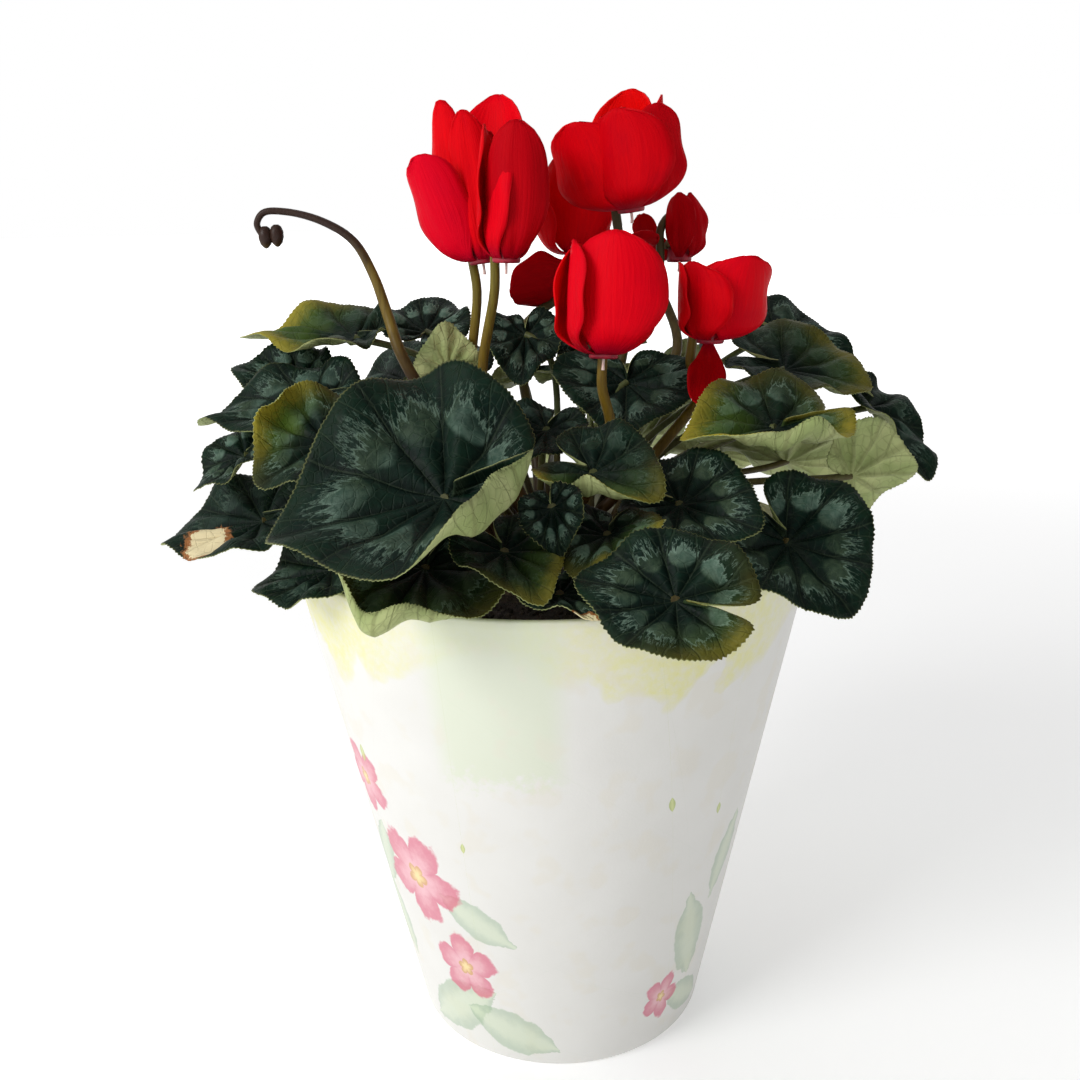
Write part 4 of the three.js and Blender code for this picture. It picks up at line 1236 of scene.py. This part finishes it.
def pot_material():
    w = Wires("printed_pot")
    place = w.place()
    x, y, z = w.split(place)
    height = z * 1000
    angle = w.math("ARCTAN2", x, y * -1)
    across = angle * PRINT_RADIUS
    grain = w.noise(place, 900, 2)
    blot = w.noise(place, 50, 3, 0.5)
    paper = w.noise(place, 350, 4, 0.65)
    wobble = w.noise(place, 220, 3, 0.6)

    cloud = w.math("COSINE", angle * 4 + 1.0) * -0.5 + 0.5
    drips = abs(w.math("SINE", blot * 4 + angle * 7))
    above_wash = height - (drips * cloud * -16 + (blot * -24 + 157))
    wash = w.ramp(above_wash, -1.5, 3.0) * (cloud * 0.7 + 0.3)
    green = w.ramp(paper * 26 + height, 118, 126) * w.ramp(abs(across + 14), 19, 11)
    colour = w.coats(
        w.mix(blot, (0.70, 0.69, 0.655), (0.775, 0.77, 0.745)),
        (wash * w.ramp(paper, 0.25, 0.75, 0.35, 1.0), (0.73, 0.71, 0.29)),
        (w.ramp(abs(above_wash), 2.2, 0.2) * (cloud * 0.25), (0.70, 0.68, 0.30)),
        (green * 0.5, (0.62, 0.70, 0.48)),
        (w.ramp(w.noise(place, 90, 2), 0.54, 0.66, 0.0, 0.35), (0.72, 0.68, 0.58)),
    )
    for tree, marks, pale, deep, strength in PRINTS:
        for middle, level, size, turn in marks:
            spot = {"Middle": middle, "Level": level, "Size": size, "Turn": turn}
            spot.update(Across=across, Height=height, Wobble=wobble)
            mark = w.outputs("ShaderNodeGroup", spot, node_tree=tree)
            mask, depth = Flow(w, mark["Mask"]), Flow(w, mark["Depth"])
            ink = w.mix(w.ramp(paper * 0.7 + depth, 0.5, 1.3), pale, deep)
            colour = w.mix(mask * strength, colour, ink)
    return w.finish(colour, w.ramp(grain, 0.2, 0.8, 0.36, 0.46), w.bump(grain, 0.00004))


POT = pot_material()
print("pot material:", len(POT.node_tree.nodes), "steps")

# %% [markdown]
# The pot's wall is turned from a profile: up the outside, over a softly rounded rim and down
# the inside, where it ends under the soil.


# %% Pot mesh
POT_HEIGHT = 160
FOOT_RADIUS = 46.7
RIM_RADIUS = 80.0
WALL = 1.8
POT_SIDES = 144
FOOT_ROUND = [(0, 0.9), (40, 0.9), (42, 0.3), (44.4, 0), (45.9, 0.25), (46.6, 0.8)]
RIM_ROUND = [
    (79.95, 159.2), (79.75, 159.75), (79.3, 160), (78.8, 159.9), (78.35, 159.4), (78.1, 158.6),
]


def pot_radius(height):
    return FOOT_RADIUS + (RIM_RADIUS - FOOT_RADIUS) * height / POT_HEIGHT


def pot_piece():
    outside = [(pot_radius(h), h) for h in (1.8, *np.linspace(6, 154, 20), 157)]
    inside = [(pot_radius(h) - WALL, h) for h in np.linspace(156, 4, 12)]
    profile = [*FOOT_ROUND, *outside, *RIM_ROUND, *inside, (45.3, 2.5), (0, 2.4)]
    angle = 2 * math.pi * np.arange(POT_SIDES) / POT_SIDES
    inner = profile[1:-1]
    points = [(r * math.cos(a), r * math.sin(a), h) for r, h in inner for a in angle]
    index = np.arange(len(points)).reshape(len(inner), POT_SIDES)
    faces = ring_faces(index)
    for ring, (_, level) in ((index[0, ::-1], profile[0]), (index[-1], profile[-1])):
        points.append((0, 0, level))
        faces += [(a, b, len(points) - 1) for a, b in zip(ring, np.roll(ring, -1))]
    piece = show("dressed_pot", mesh_from("dressed_pot", points, faces), POT)
    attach(piece, "root")
    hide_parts("pot")
    return piece


pot = pot_piece()
print("pot triangles:", triangles(pot))

# %% [markdown]
# ## Crumbs on the soil
# Peat crumbs are scattered over the soil between the tuber and the wall. Geometry Nodes does
# the scattering: points on a flat ring, an icosphere at each, every one scaled and turned by
# a seeded random value, then made real.


# %% Soil crumbs
def crumb_tree():
    numbers = dict(Density="Float", Smallest="Float", Largest="Float", Seed="Int")
    tree = geometry_tree("soil_crumbs", **numbers)
    new, link = tree.nodes.new, tree.links.new
    start, end = new("NodeGroupInput").outputs, new("NodeGroupOutput")
    scatter = new("GeometryNodeDistributePointsOnFaces")
    crumb = new("GeometryNodeMeshIcoSphere")
    crumb.inputs["Radius"].default_value = 1.0
    crumb.inputs["Subdivisions"].default_value = 1
    place = new("GeometryNodeInstanceOnPoints")
    turn = new("FunctionNodeRandomValue")
    turn.data_type = "FLOAT_VECTOR"
    turn.inputs["Max"].default_value = (6.28, 6.28, 6.28)
    grow = new("FunctionNodeRandomValue")
    grow.data_type = "FLOAT"
    real, paint = new("GeometryNodeRealizeInstances"), new("GeometryNodeSetMaterial")
    sizes = [s for s in grow.inputs if s.enabled]
    link(start["Smallest"], sizes[0])
    link(start["Largest"], sizes[1])
    link(start["Geometry"], scatter.inputs["Mesh"])
    link(start["Density"], scatter.inputs["Density"])
    link(start["Seed"], scatter.inputs["Seed"])
    link(crumb.outputs["Mesh"], place.inputs["Instance"])
    link(turn.outputs[0], place.inputs["Rotation"])
    link(next(s for s in grow.outputs if s.enabled), place.inputs["Scale"])
    link(start["Material"], paint.inputs["Material"])
    pass_on(tree, scatter, place, real, paint, end)
    return tree


# Radius and level in mm of the three rings that the crumbs are scattered between
CRUMB_RINGS = ((34, 146.6), (52, 147.6), (72, 146.7))
CRUMB_SIDES = 48


def crumbs_piece():
    angle = 2 * math.pi * np.arange(CRUMB_SIDES) / CRUMB_SIDES
    rings = [(r * math.cos(a), r * math.sin(a), z) for r, z in CRUMB_RINGS for a in angle]
    index = np.arange(len(rings)).reshape(-1, CRUMB_SIDES)
    after = np.roll(index, -1, axis=1)
    quads = np.stack([index[:-1], index[1:], after[1:], after[:-1]], axis=-1).reshape(-1, 4)
    ground = show("crumb_ground", mesh_from("crumb_ground", rings, quads))
    modifier = ground.modifiers.new("crumbs", "NODES")
    modifier.node_group = crumb_tree()
    set_inputs(modifier, Density=1.1e5, Smallest=0.0006, Largest=0.0016, Seed=5, Material=SOIL)
    piece = made_real(ground, "soil_crumbs")
    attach(piece, "root")
    return piece


crumbs = crumbs_piece()
print("crumb triangles:", triangles(crumbs))

# %% [markdown]
# ## Floor
# The floor is one plain pale sheet that glows, weakly near the plant and as bright as the sky
# far away, so no edge shows behind the plant: painted light.


# %% Floor
floor_wires = Wires("pale_floor")
floor_place = floor_wires.place()
floor_tone = floor_wires.noise(floor_place, 3.0, 2)
floor_colour = floor_wires.mix(floor_tone, (0.86, 0.86, 0.86), (0.9, 0.9, 0.9))
away = floor_wires.node("ShaderNodeVectorMath", {0: floor_place}, "Value", operation="LENGTH")
# Painted light: the floor's own glow rises from 0.28 near the plant to 1 far away
glow = floor_wires.ramp(away, 0.3, 2.2, 0.28, 1.0)
floor_wires.feed(floor_wires.shader["Emission Strength"], glow)
floor_wires.shader["Emission Color"].default_value = (1, 1, 1, 1)
floor_wires.finish(floor_colour, 0.8)
floor_mesh = bpy.data.meshes.new("floor")
floor_mesh.from_pydata([(-9, -9, 0), (9, -9, 0), (9, 15, 0), (-9, 15, 0)], [], [(0, 1, 2, 3)])
show("floor", floor_mesh, floor_wires.material)
